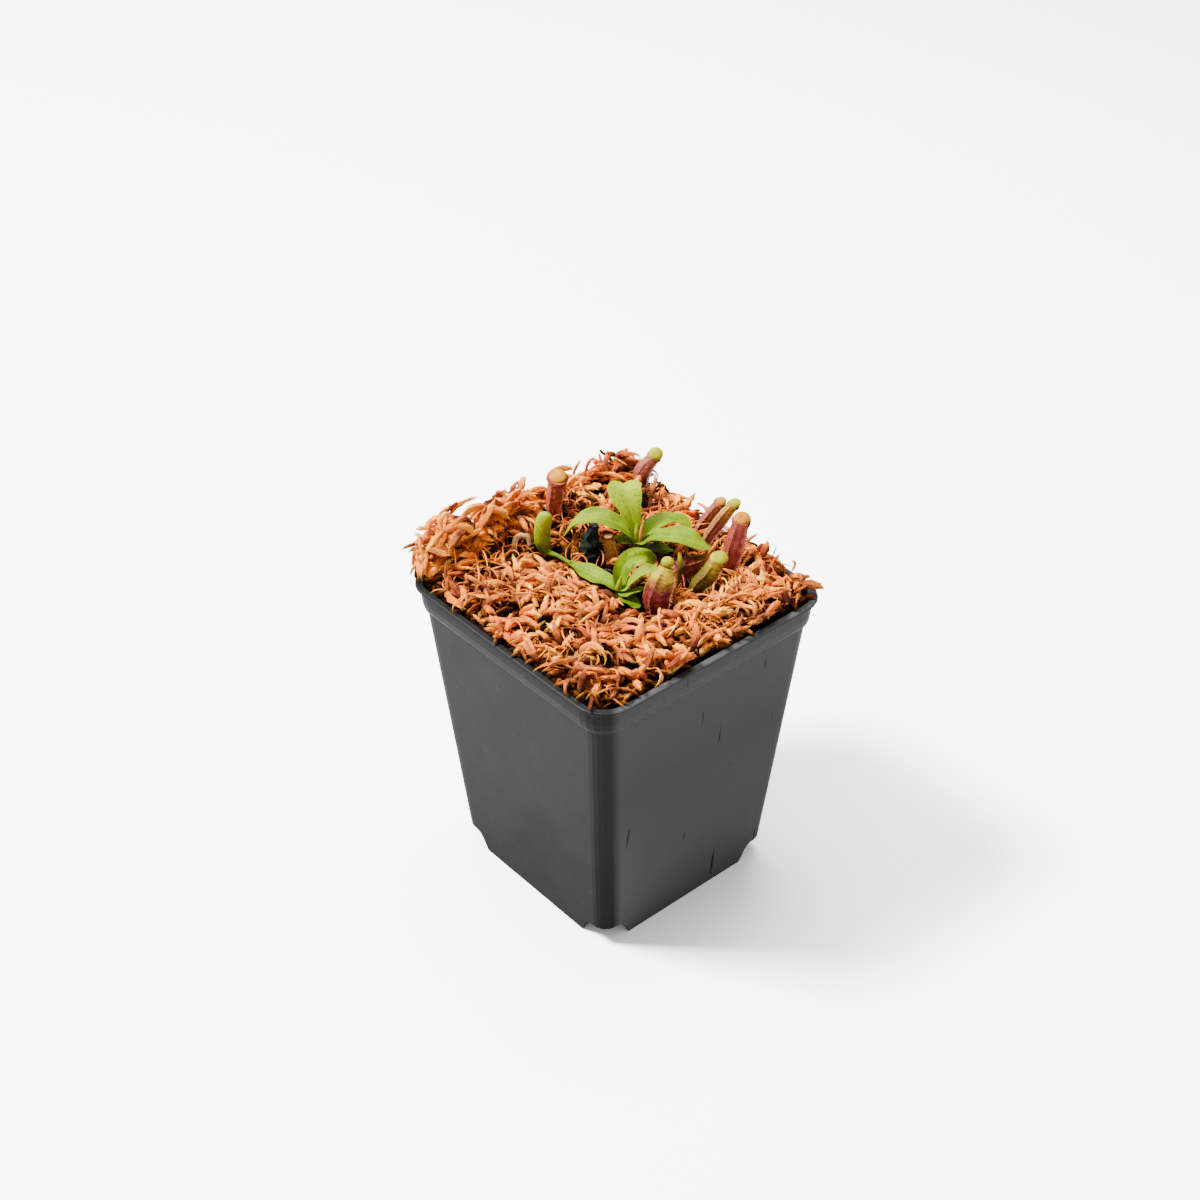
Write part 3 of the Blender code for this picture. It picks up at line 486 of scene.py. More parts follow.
def make_core():
    """The inner moss that fills the pot under the strands, painted dark as the shade under them."""
    bm = bmesh.new()
    loops = []
    for z in (FLOOR_TOP + GAP, 30.0, 60.0, COLLAR_FOOT - 4.0):
        half = 0.5 * (BASE_WIDTH + (WALL_TOP_WIDTH - BASE_WIDTH) * z / COLLAR_FOOT)
        loops.append(ring(bm, square_ring(half - WALL - GAP - 0.1, BASE_CORNER, z, 6, 16)))
    for step in range(20):
        scale = 1.0 - step / 20.0
        points = square_ring(MOSS_HALF * scale, MOSS_CORNER * scale, 0.0, 6, 16)
        for point in points:
            rough = noise.noise(Vector((point.x, point.y, 0.0)) * 0.45)
            point.z = moss_height(point.x, point.y) + 1.4 * rough - 0.4
        loops.append(ring(bm, points))
    skin(bm, loops)
    tone = bm.verts.layers.float.new("tone")
    core_unshaded = bm.verts.layers.float.new("unshaded")
    # The whole core takes a low share here, so it is painted dark as shade.
    for vert in bm.verts:
        vert[tone] = 0.35
        vert[core_unshaded] = 0.12
    piece_from(bm, "moss_core", FINISH["moss"], ("moss_bed",))


def strand_template(plump, rows, leaflets, tips, spread, seed, sides=6):
    """One straight strand along Z from 0 to 1, scaly with leaflets and frayed at its tip."""
    draw = random.Random(seed)
    bm = bmesh.new()
    bmesh.ops.create_cone(bm, cap_ends=True, cap_tris=True, segments=sides, radius1=0.5,
                          radius2=0.5, depth=1.0, matrix=Matrix.Translation((0, 0, 0.5)))
    for row in range(1, rows):
        bmesh.ops.bisect_plane(bm, geom=bm.verts[:] + bm.edges[:] + bm.faces[:],
                               plane_co=(0.0, 0.0, row / rows), plane_no=(0.0, 0.0, 1.0))
    for vert in bm.verts:
        z = vert.co.z
        step = 1.0 + 0.12 * (1 if round(z * rows) % 2 else -1)
        swell = 0.78 * plump * (0.15 + 0.85 * math.sin(math.pi * (0.1 + 0.84 * z) ** 0.9)) * step
        swell *= draw.uniform(0.82, 1.18) if z < 0.99 else 0.3
        vert.co.x *= swell
        vert.co.y *= swell
    ends = [(0.92, spread, 0.2, 0.12) for _ in range(tips)]
    scales = [(0.04 + 0.86 * (n + 0.5) / leaflets, 0.48, 0.27, 0.13) for n in range(leaflets)]
    for number, (z, lean, length, wide) in enumerate(scales + ends):
        out = 0.24 * plump * math.sin(math.pi * (0.08 + 0.84 * z) ** 0.85)
        length *= draw.uniform(0.75, 1.2)
        place = (Matrix.Rotation(2.4 * number + draw.uniform(-0.4, 0.4), 4, "Z")
                 @ Matrix.Translation((out if z < 0.9 else 0.0, 0.0, z))
                 @ Matrix.Rotation(lean * draw.uniform(0.6, 1.5), 4, "Y")
                 @ Matrix.Translation((0.0, 0.0, 0.42 * length)))
        bmesh.ops.create_cone(bm, cap_ends=True, cap_tris=False, segments=3,
                              radius1=wide * plump, radius2=0.0,
                              depth=length, matrix=place @ Matrix.Diagonal((0.6, 1.1, 1, 1)))
    bmesh.ops.triangulate(bm, faces=bm.faces)
    bmesh.ops.recalc_face_normals(bm, faces=bm.faces)
    mesh = bpy.data.meshes.new("strand")
    bm.to_mesh(mesh)
    bm.clear()
    bm.from_mesh(mesh)
    bpy.data.meshes.remove(mesh)
    return bm


def copies_of(bm, count):
    """A mesh with the given number of copies of a small shape, one after another."""
    size = len(bm.verts)
    while len(bm.verts) < count * size:
        bm.verts.ensure_lookup_table()
        room = count * size - len(bm.verts)
        verts = bm.verts[:min(room, len(bm.verts))]
        chosen = set(verts)
        faces = [face for face in bm.faces if face.verts[0] in chosen]
        bmesh.ops.duplicate(bm, geom=verts + [e for e in bm.edges if e.verts[0] in chosen] + faces)
    return bm


def store(mesh, name, values):
    """Keep one number for every vertex under a name."""
    kept = mesh.attributes.new(name, "FLOAT", "POINT")
    kept.data.foreach_set("value", values.astype(np.float32))


def bend_strands(bm, strands, name):
    """Bend copies of a straight strand along each planned arc and store their tones."""
    size = len(bm.verts)
    template = np.array([vert.co for vert in bm.verts])
    copies_of(bm, len(strands))
    bmesh.ops.scale(bm, vec=(MM, MM, MM), verts=bm.verts)
    mesh = bpy.data.meshes.new(name)
    bm.to_mesh(mesh)
    bm.free()
    plan = {key: np.array([strand[key] for strand in strands], float) for key in strands[0]}
    z = template[None, :, 2]
    bend = plan["bend"][:, None] * z
    small = np.abs(plan["bend"])[:, None] < 1e-4
    rate = np.where(small, 1.0, plan["bend"][:, None])
    forward = np.where(small, z, np.sin(bend) / rate) * plan["length"][:, None]
    aside = np.where(small, 0.0, (1.0 - np.cos(bend)) / rate) * plan["length"][:, None]
    twist = plan["twist"][:, None] * z + plan["spin"][:, None]
    local_x = template[None, :, 0] * np.cos(twist) - template[None, :, 1] * np.sin(twist)
    local_y = template[None, :, 0] * np.sin(twist) + template[None, :, 1] * np.cos(twist)
    wide = plan["width"][:, None]
    out = aside + local_x * wide * np.cos(bend)
    ahead = forward - local_x * wide * np.sin(bend)
    flat = local_y * wide * plan["flat"][:, None]
    spots = (plan["root"][:, None, :] + plan["dir"][:, None, :] * ahead[:, :, None]
             + plan["curl"][:, None, :] * out[:, :, None]
             + plan["side"][:, None, :] * flat[:, :, None])
    mesh.vertices.foreach_set("co", (spots.reshape(-1) * MM).astype(np.float32))
    store(mesh, "tone", np.repeat(plan["tone"], size))
    store(mesh, "hue", np.repeat(plan["hue"], size))
    store(mesh, "along", np.tile(np.clip(template[:, 2], 0.0, 1.0), len(strands)))
    # How high each point sits over the moss, kept for the painted shade that darkens the low parts of
    # the strands.
    rise = np.array([strand["root"].z - moss_height(strand["root"].x, strand["root"].y)
                     for strand in strands])
    above = spots[:, :, 2] - plan["root"][:, None, 2] + rise[:, None]
    store(mesh, "unshaded", np.clip((above - 0.4) / 4.8, 0.0, 1.0).reshape(-1))
    mesh.update()
    return mesh


def plant_tree():
    """A search tree over the solids of the plant, without pot and moss."""
    bm = bmesh.new()
    for name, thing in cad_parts.items():
        if name != "pot" and not name.startswith("moss"):
            bm.from_mesh(thing.data)
    tree = BVHTree.FromBMesh(bm)
    bm.free()
    return tree


def strand_end(strand, share):
    """A point on a planned strand."""
    bend = strand["bend"] * share
    rate = strand["bend"] if abs(strand["bend"]) > 1e-4 else 1e-4
    bend = rate * share
    return (strand["root"] + strand["dir"] * (math.sin(bend) / rate * strand["length"])
            + strand["curl"] * ((1.0 - math.cos(bend)) / rate * strand["length"]))


def strand_fits(strand, tree):
    """True if a strand keeps off the plant, in the reach of the moss and above the rim."""
    inner = 0.5 * RIM_WIDTH - RIM_RING - 0.4
    for share in (0.3, 0.6, 0.85, 1.0):
        spot = strand_end(strand, share)
        reach = 0.45 * strand["width"]
        out = max(abs(spot.x), abs(spot.y))
        if not inside_box(spot, reach) or spot.z > moss_ceiling(spot.x, spot.y):
            return False
        over_rim = out > inner or abs(spot.x) + abs(spot.y) > 2.0 * inner - 5.0
        if over_rim and spot.z - 0.5 * reach < POT_HEIGHT:
            return False
        if tree.find_nearest(spot * MM, (reach + 0.35) * MM)[0] is not None:
            return False
    return True


def inside_box(spot, reach):
    """True if a spot with the space it needs round it lies in the reach of the solids."""
    low, high = CAD_BOX
    return all(low[axis] / MM + reach + 0.3 < spot[axis] < high[axis] / MM - reach - 0.3
               for axis in (0, 1, 2))


def crest(y):
    """Height of the tips along the back left edge."""
    for (near, low), (far, high) in zip(CREST, CREST[1:]):
        if near <= y <= far:
            return low + (high - low) * (y - near) / (far - near)
    return MOSS_LEVEL


def moss_ceiling(x, y):
    """The greatest height of a strand at a place: highest along the back left edge."""
    plain = moss_height(x, y) + 6.8 + 3.0 * min(1.0, max(0.0, (y - 34.0) / 8.0))
    back = min(1.0, max(0.0, (CREST_EDGE + 6.0 - x) / 6.0))
    return plain + (max(crest(y), plain) - plain) * back


# Ranges of length, width and bend of each kind of strand
STRANDS = {
    "plump": ((4.0, 9.0), (1.6, 3.4), (0.3, 2.1)),
    "fine": ((5.0, 11.0), (0.6, 1.2), (1.2, 4.4)),
    "star": ((6.0, 9.0), (1.3, 2.1), (0.1, 1.0)),
}


def strand_from(draw, root, heading, rise, droop, tone, hue, size=1.0, kind="plump"):
    """One strand from its root, heading and rise, both in radians."""
    up = moss_slope(root.x, root.y)
    flat = Vector((math.cos(heading), math.sin(heading), 0.0))
    flat = (flat - up * flat.dot(up)).normalized()
    direction = (flat * math.cos(rise) + up * math.sin(rise)).normalized()
    side = direction.cross(up).normalized()
    curl = (-up * droop + side * draw.uniform(-0.8, 0.8)).normalized()
    curl = (curl - direction * curl.dot(direction)).normalized()
    tone = tone + draw.gauss(0.0, 0.16)
    length, width, bend = STRANDS[kind]
    return {
        "root": root, "dir": direction, "curl": curl, "side": direction.cross(curl).normalized(),
        "length": draw.uniform(*length) * size, "width": draw.uniform(*width) * size ** 0.5,
        "bend": draw.uniform(*bend), "twist": draw.uniform(-1.0, 1.0),
        "spin": draw.uniform(0.0, math.tau), "flat": draw.uniform(0.65, 1.0),
        "tone": min(max(tone, 0.0), 1.0), "hue": hue,
    }


def plan_tuft(draw, x, y, pale, lift=0.0):
    """A tuft: a few strands that fan out from a short leaning stem."""
    up = moss_slope(x, y)
    drift = 6.0 * noise.noise(Vector((x * 0.09, y * 0.09, 3.7)))
    edge = max(abs(x), abs(y)) / MOSS_HALF
    if edge > 0.8:
        drift = math.atan2(y, x)
    lean = Vector((math.cos(drift), math.sin(drift), 0.0)) * draw.uniform(0.0, 0.9)
    axis = (up + lean).normalized()
    size = draw.uniform(0.8, 1.15) * (1.2 if x < -33.0 or x - y > 52.0 else 1.0)
    clump = noise.noise(Vector((x * 0.15, y * 0.15, 61.0)))
    base = moss_height(x, y) - 1.3 + 3.0 * clump + lift
    if pale:
        base += 0.35 * CUSHIONS[pale][2]
    if edge > RIM_ZONE:
        base = max(base, POT_HEIGHT + draw.uniform(-0.6, 1.6))
    patch = noise.noise(Vector((x * 0.08, y * 0.08, 11.0)))
    tone = 0.5 + 0.6 * patch + draw.gauss(0.0, 0.2) + (0.12 if x < CREST_EDGE else 0.0)
    hue = 0.4 + 1.3 * noise.noise(Vector((x * 0.06, y * 0.06, 23.0))) + draw.gauss(0.0, 0.25)
    strands = []
    count = draw.randint(5, 8)
    fan = draw.random() < 0.6
    turn = draw.uniform(0.0, math.tau)
    for number in range(count):
        share = number / count
        root = Vector((x, y, base)) + axis * (draw.uniform(0.0, 1.0) + 3.2 * share * size)
        heading = turn + 2.4 * number + draw.uniform(-0.5, 0.5)
        if fan:
            heading = turn + draw.uniform(-0.7, 0.7)
        rise = math.radians(6.0 + 54.0 * share + draw.uniform(-10.0, 10.0))
        spread = Vector((math.cos(heading), math.sin(heading), 0.0)) + lean * 0.9
        heading = math.atan2(spread.y, spread.x)
        strands.append(strand_from(draw, root, heading, rise, 0.9, tone, hue, size))
    return strands


def plan_loose(draw, x, y, pale):
    """A loose strand that lies among the tufts."""
    root = Vector((x, y, moss_height(x, y) + draw.uniform(0.2, 2.4)))
    patch = noise.noise(Vector((x * 0.1, y * 0.1, 5.0)))
    tone = 0.5 + 0.5 * patch + draw.gauss(0.0, 0.2)
    rise = math.radians(draw.uniform(-8.0, 25.0))
    hue = draw.uniform(0.0, 1.0)
    return [strand_from(draw, root, draw.uniform(0.0, math.tau), rise, 0.5, tone, hue)]


def plan_star(draw, x, y):
    """A pale tuft whose strands spread to all sides."""
    strands = []
    for number in range(22):
        root = Vector((x, y, moss_height(x, y) + draw.uniform(1.5, 3.5)))
        rise = math.radians(draw.uniform(5.0, 60.0))
        heading = 2.4 * number + draw.uniform(-0.3, 0.3)
        strands.append(strand_from(draw, root, heading, rise, 0.4, 0.85, 1.3, 1.0, "star"))
    return strands


def edge_places(draw):
    """Jittered places close to the rim, all round the pot."""
    places = []
    half = MOSS_HALF - 0.8
    for side in range(4):
        turn = Matrix.Rotation(math.radians(90.0 * side), 3, "Z")
        for step in range(32):
            along = -half + 4.0 + (2.0 * half - 8.0) * (step + draw.random()) / 32.0
            spot = turn @ Vector((half - draw.uniform(0.0, 3.0), along, 0.0))
            places.append((spot.x, spot.y))
    return places


def plan_edge(draw, x, y):
    """A few strands that lean out over the rim."""
    out = math.atan2(y if abs(y) > abs(x) else 0.0, x if abs(x) >= abs(y) else 0.0)
    tone = 0.5 + draw.gauss(0.0, 0.22)
    hue = draw.uniform(0.0, 1.0)
    strands = []
    for _ in range(5):
        root = Vector((x, y, POT_HEIGHT + draw.uniform(-1.0, 1.4)))
        heading = out + draw.uniform(-1.5, 1.5)
        rise = math.radians(draw.uniform(2.0, 40.0))
        strands.append(strand_from(draw, root, heading, rise, 0.9, tone, hue,
                                   draw.uniform(0.6, 1.0)))
    return strands


def plan_fibres(draw, x, y, pale):
    """A tangle of thin curly strands over the moss."""
    share = 0.45 + 1.4 * noise.noise(Vector((x * 0.05, y * 0.05, 41.0)))
    if draw.random() > share + (0.35 if pale else 0.0):
        return []
    tone = 0.62 + draw.gauss(0.0, 0.18)
    hue = draw.uniform(0.3, 1.1)
    strands = []
    for _ in range(draw.randint(4, 8)):
        root = Vector((x, y, moss_height(x, y) + draw.uniform(2.0, 5.2)))
        rise = math.radians(draw.uniform(-10.0, 50.0))
        strands.append(strand_from(draw, root, draw.uniform(0.0, math.tau), rise, 0.5, tone, hue,
                                   1.0, "fine"))
    return strands


def cushion_at(x, y):
    """The pale cushion under a place, or None."""
    for name, (centre, halves, _) in CUSHIONS.items():
        if math.hypot((x - centre[0]) / halves[0], (y - centre[1]) / halves[1]) < 1.0:
            return name
    return None


def plan_moss(step, loose_step, seed):
    """All strands of the moss, sorted by the cushion or bed they belong to."""
    tree = plant_tree()
    draw = random.Random(seed)
    plans = {"bed": [], "fibres": []}
    plans.update({name: [] for name in CUSHIONS})
    for spacing, plan in ((step, plan_tuft), (step, plan_tuft), (loose_step, plan_loose)):
        for x, y in scattered(draw, spacing):
            pale = cushion_at(x, y)
            fitting = [s for s in plan(draw, x, y, pale) if strand_fits(s, tree)]
            plans[pale or "bed"].extend(fitting)
    for x, y in STARS:
        plans["bed"].extend([s for s in plan_star(draw, x, y) if strand_fits(s, tree)])
    for x, y in edge_places(draw):
        tuft = plan_edge(draw, x, y)
        plans["bed"].extend([s for s in tuft if strand_fits(s, tree)])
    for x, y in scattered(draw, loose_step):
        fibres = plan_fibres(draw, x, y, cushion_at(x, y))
        plans["fibres"].extend([s for s in fibres if strand_fits(s, tree)])
    for x, y in scattered(draw, 0.85 * step):
        lift = 3.0
        while x < CREST_EDGE and moss_height(x, y) + lift < crest(y) - 2.5:
            tuft = plan_tuft(draw, x, y, None, lift)
            plans["bed"].extend([s for s in tuft if strand_fits(s, tree)])
            lift += 3.2
    return plans


def in_hollow(x, y):
    """True in the dark hollows among the shoots."""
    return any(math.hypot(x - centre[0], y - centre[1]) < width for centre, width in HOLLOWS)


def scattered(draw, spacing):
    """Jittered places all over the moss, off the hollows."""
    count = int(2.0 * MOSS_HALF / spacing)
    places = []
    for row in range(count):
        for column in range(count):
            x = -MOSS_HALF + spacing * (column + 0.5 + draw.uniform(-0.5, 0.5))
            y = -MOSS_HALF + spacing * (row + 0.5 + draw.uniform(-0.5, 0.5))
            corner = abs(x) + abs(y) < 2 * MOSS_HALF - 4.0
            if max(abs(x), abs(y)) < MOSS_HALF - 0.6 and corner and not in_hollow(x, y):
                places.append((x, y))
    return places


KINDS = (
    (1.0, 6, 26, 3, 0.45, 1),
    (1.15, 6, 28, 3, 0.35, 2),
    (0.9, 6, 24, 4, 0.5, 3),
    (0.7, 6, 20, 3, 0.5, 4),
)
FIBRE = (0.7, 9, 4, 2, 0.5, 5, 4)


def make_moss():
    """The strands of the bed and of its pale cushions."""
    plans = plan_moss(*(((5.2, 3.6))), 5)
    bed = plans.pop("bed")
    for number, kind in enumerate(KINDS):
        mesh = bend_strands(strand_template(*kind), bed[number::len(KINDS)], "moss_strands")
        name = "moss_strands_" + "abcd"[number]
        show_mesh(mesh, name, FINISH["moss"], ("moss_bed",))
    mesh = bend_strands(strand_template(*FIBRE), plans.pop("fibres"), "moss_fibres")
    show_mesh(mesh, "moss_fibres", FINISH["moss"], ("moss_bed",))
    for name, strands in plans.items():
        mesh = bend_strands(strand_template(*KINDS[2]), strands, name)
        show_mesh(mesh, name + "_strands", FINISH["moss_pale"], (name,))


# Leaves

BLADE = 0.5


def blade_width(share, wide, base, tip, widest):
    """Width of a leaf at a share of its length."""
    if share < widest:
        return wide * (base + (1.0 - base) * math.sin(0.5 * math.pi * share / widest))
    fall = math.cos(0.5 * math.pi * (share - widest) / (1.0 - widest))
    return wide * (tip + (1.0 - tip) * max(fall, 0.0) ** 0.75)


def blade_point(spec, share, across, face):
    """A point of a leaf: across from -1 to 1, face -1 on the underside and 1 on top."""
    stretched = share
    if spec["notch"] and share > 0.8:
        stretched = share - spec["notch"] * (share - 0.8) / 0.2 * math.exp(-(across / 0.22) ** 2)
    here, along, up, side = curve_frame(spec["line"], stretched, spec["front"])
    half = 0.5 * blade_width(share, spec["wide"], spec["base"], spec["tip"], spec["widest"])
    if spec["widths"]:
        half = 0.5 * blended(spec["widths"], share)
    half *= 1.0 + 0.03 * math.sin(13.0 * share + 3.0 * spec["phase"] + (2.0 if across > 0 else 0.0))
    lift = (spec["fold"] + 0.5 * max(0.0, 1.0 - 5.0 * share)) * half * abs(across) ** 1.3
    wave = spec["wave"] * across * across * math.sin(9.0 * share + spec["phase"] + across)
    wave += 0.3 * spec["wave"] * abs(across) * math.sin(23.0 * share + 5.0 * across)
    lift += wave * min(1.0, 4.0 * share)
    lift -= 0.16 * math.exp(-(across / 0.09) ** 2) * (1.0 - share)
    thin = 0.5 * BLADE * (1.0 - 0.7 * abs(across) ** 3) * (1.0 - 0.4 * share)
    return here + side * (half * across) + up * (lift + face * thin)


def make_blade(name, spec):
    """One leaf: a fine grid, thickened, then bent along its line."""
    bm = bmesh.new()
    bmesh.ops.create_grid(bm, x_segments=44, y_segments=16, size=1.0)
    bmesh.ops.translate(bm, vec=(0.0, 0.0, -1.0), verts=bm.verts)
    top = bmesh.ops.extrude_face_region(bm, geom=bm.faces[:], use_keep_orig=True)
    raised = [item for item in top["geom"] if isinstance(item, bmesh.types.BMVert)]
    bmesh.ops.translate(bm, vec=(0.0, 0.0, 2.0), verts=raised)
    along = bm.verts.layers.float.new("along")
    across = bm.verts.layers.float.new("across")
    tone = bm.verts.layers.float.new("tone")
    age = bm.verts.layers.float.new("age")
    for vert in bm.verts:
        share = 0.5 * (vert.co.x + 1.0)
        vert[along] = share
        vert[across] = abs(vert.co.y)
        vert[tone] = spec["shade"]
        vert[age] = spec["age"]
        vert.co = blade_point(spec, share, vert.co.y, vert.co.z)
    piece_from(bm, name + "_blade", FINISH["leaf"], (name,))


def leaf(line, wide, base=0.3, tip=0.12, widest=0.55, fold=0.35, wave=0.5, phase=0.0,
         front=(0.0, 0.0, 1.0), notch=0.0, shade=0.3, age=-0.04, widths=None):
    """The measures of one leaf."""
    return {"line": [Vector(p) for p in line], "wide": wide, "base": base, "tip": tip,
            "widest": widest, "fold": fold, "wave": wave, "phase": phase,
            "front": Vector(front), "notch": notch, "shade": shade, "age": age,
            "widths": widths}


LEAVES = {
    "leaf_upper_upright": leaf(
        [(-4.0, 12.0, 109.6), (-4.4, 11.6, 113.2), (-5.9, 11.7, 117.4), (-8.4, 12.2, 121.6),
         (-11.2, 13.2, 124.0), (-14.0, 15.3, 124.5)], 8.2, fold=0.2, wave=0.25,
        front=(0.45, -0.4, 1.0), notch=0.05, shade=0.85,
        widths=(2.6, 3.2, 4.2, 6.4, 9.4, 10.4, 6.4)),
    "leaf_upper_left": leaf(
        [(-4.2, 11.9, 109.6), (-6.6, 10.9, 112.0), (-10.3, 9.1, 114.2), (-14.8, 6.1, 115.2),
         (-18.6, 1.8, 113.8), (-21.3, -1.7, 109.2)], 7.4, tip=0.12, widest=0.55, fold=0.3,
        phase=1.0, shade=0.45, age=0.03),
    "leaf_upper_front": leaf(
        [(-3.4, 12.2, 108.6), (-1.0, 12.6, 111.4), (2.8, 14.2, 114.0), (7.5, 16.7, 115.0),
         (11.6, 20.2, 114.0), (14.4, 24.2, 111.6)], 9.4, tip=0.2, widest=0.62, fold=0.25,
        phase=2.0, shade=0.4),
    "leaf_upper_back": leaf(
        [(-3.9, 12.8, 109.2), (-3.8, 15.0, 111.8), (-3.2, 18.4, 113.6), (-1.6, 21.8, 114.3),
         (0.6, 24.8, 113.6), (3.0, 27.2, 111.4)], 7.0, tip=0.25, widest=0.6, fold=0.3,
        phase=0.5, shade=0.5),
    "leaf_upper_small": leaf(
        [(-4.4, 12.0, 107.4), (-6.4, 11.6, 108.6), (-8.6, 10.4, 109.0), (-12.2, 9.6, 108.2)],
        4.2, fold=0.2, shade=0.2),
    "leaf_upper_low": leaf(
        [(-3.6, 12.4, 107.0), (-1.8, 13.5, 108.2), (1.4, 15.1, 108.8), (4.4, 18.8, 108.0)],
        5.4, fold=0.2, phase=2.5, shade=0.05),
    "leaf_lower_arched": leaf(
        [(5.4, -3.4, 104.6), (4.7, -2.4, 107.6), (3.9, -0.4, 110.8), (4.5, 2.8, 112.6),
         (6.0, 6.3, 112.2), (6.8, 9.2, 109.6)], 5.6, base=0.4, tip=0.3, fold=0.3,
        front=(0.55, -0.5, 0.8), shade=0.45),
    "leaf_lower_folded": leaf(
        [(5.9, -3.4, 103.8), (7.5, -2.4, 106.2), (9.2, -0.2, 109.0), (10.9, 2.4, 111.0),
         (12.6, 5.2, 112.4)], 5.2, base=0.3, tip=0.2, fold=0.45, phase=1.5, shade=0.5),
    "leaf_lower_right": leaf(
        [(6.0, -3.7, 103.4), (7.9, -3.6, 104.8), (10.4, -2.2, 106.0), (11.8, 1.0, 106.6)], 3.6,
        fold=0.2),
    "leaf_lower_low": leaf(
        [(5.8, -4.2, 102.0), (7.8, -4.9, 102.9), (10.4, -3.8, 103.4), (13.6, -2.4, 102.6)],
        4.6, tip=0.3, fold=0.2, phase=2.0, shade=0.0),
    "leaf_lower_left": leaf(
        [(5.3, -3.9, 104.4), (2.6, -4.5, 105.6), (-2.4, -5.1, 105.6), (-7.8, -6.3, 105.8),
         (-12.6, -7.8, 107.2)], 6.6, base=0.3, tip=0.14, widest=0.5, fold=0.3, phase=0.7,
        shade=0.3),
}

STEMS = {
    "stem_upper": ((-6.2, 14.2, 96.0), (-4.1, 12.1, 111.6), 1.5, 0.9),
    "stem_lower": ((4.4, -2.8, 96.0), (5.6, -3.6, 106.4), 1.5, 0.9),
}

TENDRIL = [(-11.6, -7.5, 107.0), (-16.3, -8.4, 107.6), (-19.7, -8.6, 107.0),
           (-21.6, -8.9, 107.6), (-21.8, -9.6, 111.0), (-21.8, -9.4, 115.6),
           (-21.1, -8.5, 120.6)]
TENDRIL_RADII = (0.6, 0.6, 0.9, 1.9, 2.45, 2.45, 2.3)

YOUNG_SHOOTS = (
    ([(-3.4, 12.4, 110.4), (-2.8, 12.6, 113.4), (-2.4, 12.9, 117.4)], (0.9, 0.8, 0.25), "dry"),
    ([(-4.3, 12.0, 110.0), (-4.0, 11.8, 113.0), (-4.2, 12.0, 116.0)], (1.3, 0.9, 0.2), "stem"),
    ([(5.7, -3.8, 105.4), (6.2, -3.9, 107.6), (6.4, -3.6, 110.0)], (1.1, 0.8, 0.2), "stem"),
)


# Tubes

def tube(bm, points, radii, sides=20, front=(1.0, -0.8, 0.2), rows=36, flat=1.0, ribs=0.0,
         closed=0.0, ragged=0.0):
    """A closed tube along a smooth line, with two jagged wings down its front if asked."""
    line = [Vector(p) for p in points]
    front = Vector(front)
    layers = [bm.verts.layers.float.get(key) or bm.verts.layers.float.new(key)
              for key in ("along", "across")]
    loops = []
    for row in range(rows):
        share = row / (rows - 1)
        here, along, ahead, side = curve_frame(line, share, front)
        radius = blended(radii, share)
        if closed and share > 1.0 - closed:
            radius *= max(0.02, 1.0 - ((share - 1.0 + closed) / closed) ** 3) ** 0.5
        around = []
        for step in range(sides):
            angle = math.tau * step / sides
            spot = Vector((3.0 * math.cos(angle), 3.0 * math.sin(angle), 14.0 * share + row % 2))
            reach = radius * (1.0 + ragged * noise.noise(spot + here))
            if ribs and step in (RIB_STEP, sides - RIB_STEP):
                jag = 0.75 + 0.25 * (-1) ** row
                reach += ribs * jag * math.sin(math.pi * share) ** 0.4
            around.append(here + ahead * (math.cos(angle) * reach * flat)
                          + side * (math.sin(angle) * reach))
        edges = ring(bm, around)
        for edge in edges:
            for vert in edge.verts:
                turn = abs((vert.co - here).angle(ahead, 0.0)) / math.pi
                vert[layers[0]] = share
                vert[layers[1]] = turn
        loops.append(edges)
    skin(bm, loops)


RIB_STEP = 3


def fringe(bm, spec):
    """Short fine hairs along both wings of a pitcher."""
    draw = random.Random(7)
    line = [Vector(p) for p in spec["line"]]
    count = 34
    for number in range(count):
        share = 0.18 + 0.74 * number / count
        here, along, ahead, side = curve_frame(line, share, Vector((1.0, -0.8, 0.2)))
        for angle in (math.tau * RIB_STEP / 32.0, -math.tau * RIB_STEP / 32.0):
            out = (ahead * math.cos(angle) + side * math.sin(angle)).normalized()
            lean = (out + along * draw.uniform(-0.5, 0.6) + side * draw.uniform(-0.3, 0.3))
            reach = blended(spec["radii"], share) + spec["wing"] * 0.6
            turn = lean.to_track_quat("Z", "Y").to_matrix().to_4x4()
            long = draw.uniform(0.7, 1.5)
            place = Matrix.Translation(here + out * reach) @ turn
            bmesh.ops.create_cone(bm, cap_ends=True, cap_tris=True, segments=4, radius1=0.08,
                                  radius2=0.02, depth=long,
                                  matrix=place @ Matrix.Translation((0.0, 0.0, 0.4 * long)))


def mouth_ring(bm, centre, normal, radius, thick):
    """The rolled, slightly ragged rim round a mouth."""
    facing = Vector(normal).normalized()
    side = facing.cross(Vector((0.0, 0.0, 1.0))).normalized()
    deep = side.cross(facing)
    count = 36
    loops = []
    for step in range(count):
        angle = math.tau * step / count
        out = side * math.cos(angle) + deep * math.sin(angle)
        ragged = 1.0 + 0.35 * noise.noise(out * 4.0 + Vector(centre))
        points = []
        for turn in range(8):
            bend = math.tau * turn / 8
            points.append(Vector(centre) + out * (radius + thick * ragged * math.cos(bend))
                          + facing * (thick * ragged * math.sin(bend)))
        loops.append(ring(bm, points))
    for near, far in zip(loops, loops[1:] + loops[:1]):
        bmesh.ops.bridge_loops(bm, edges=near + far)


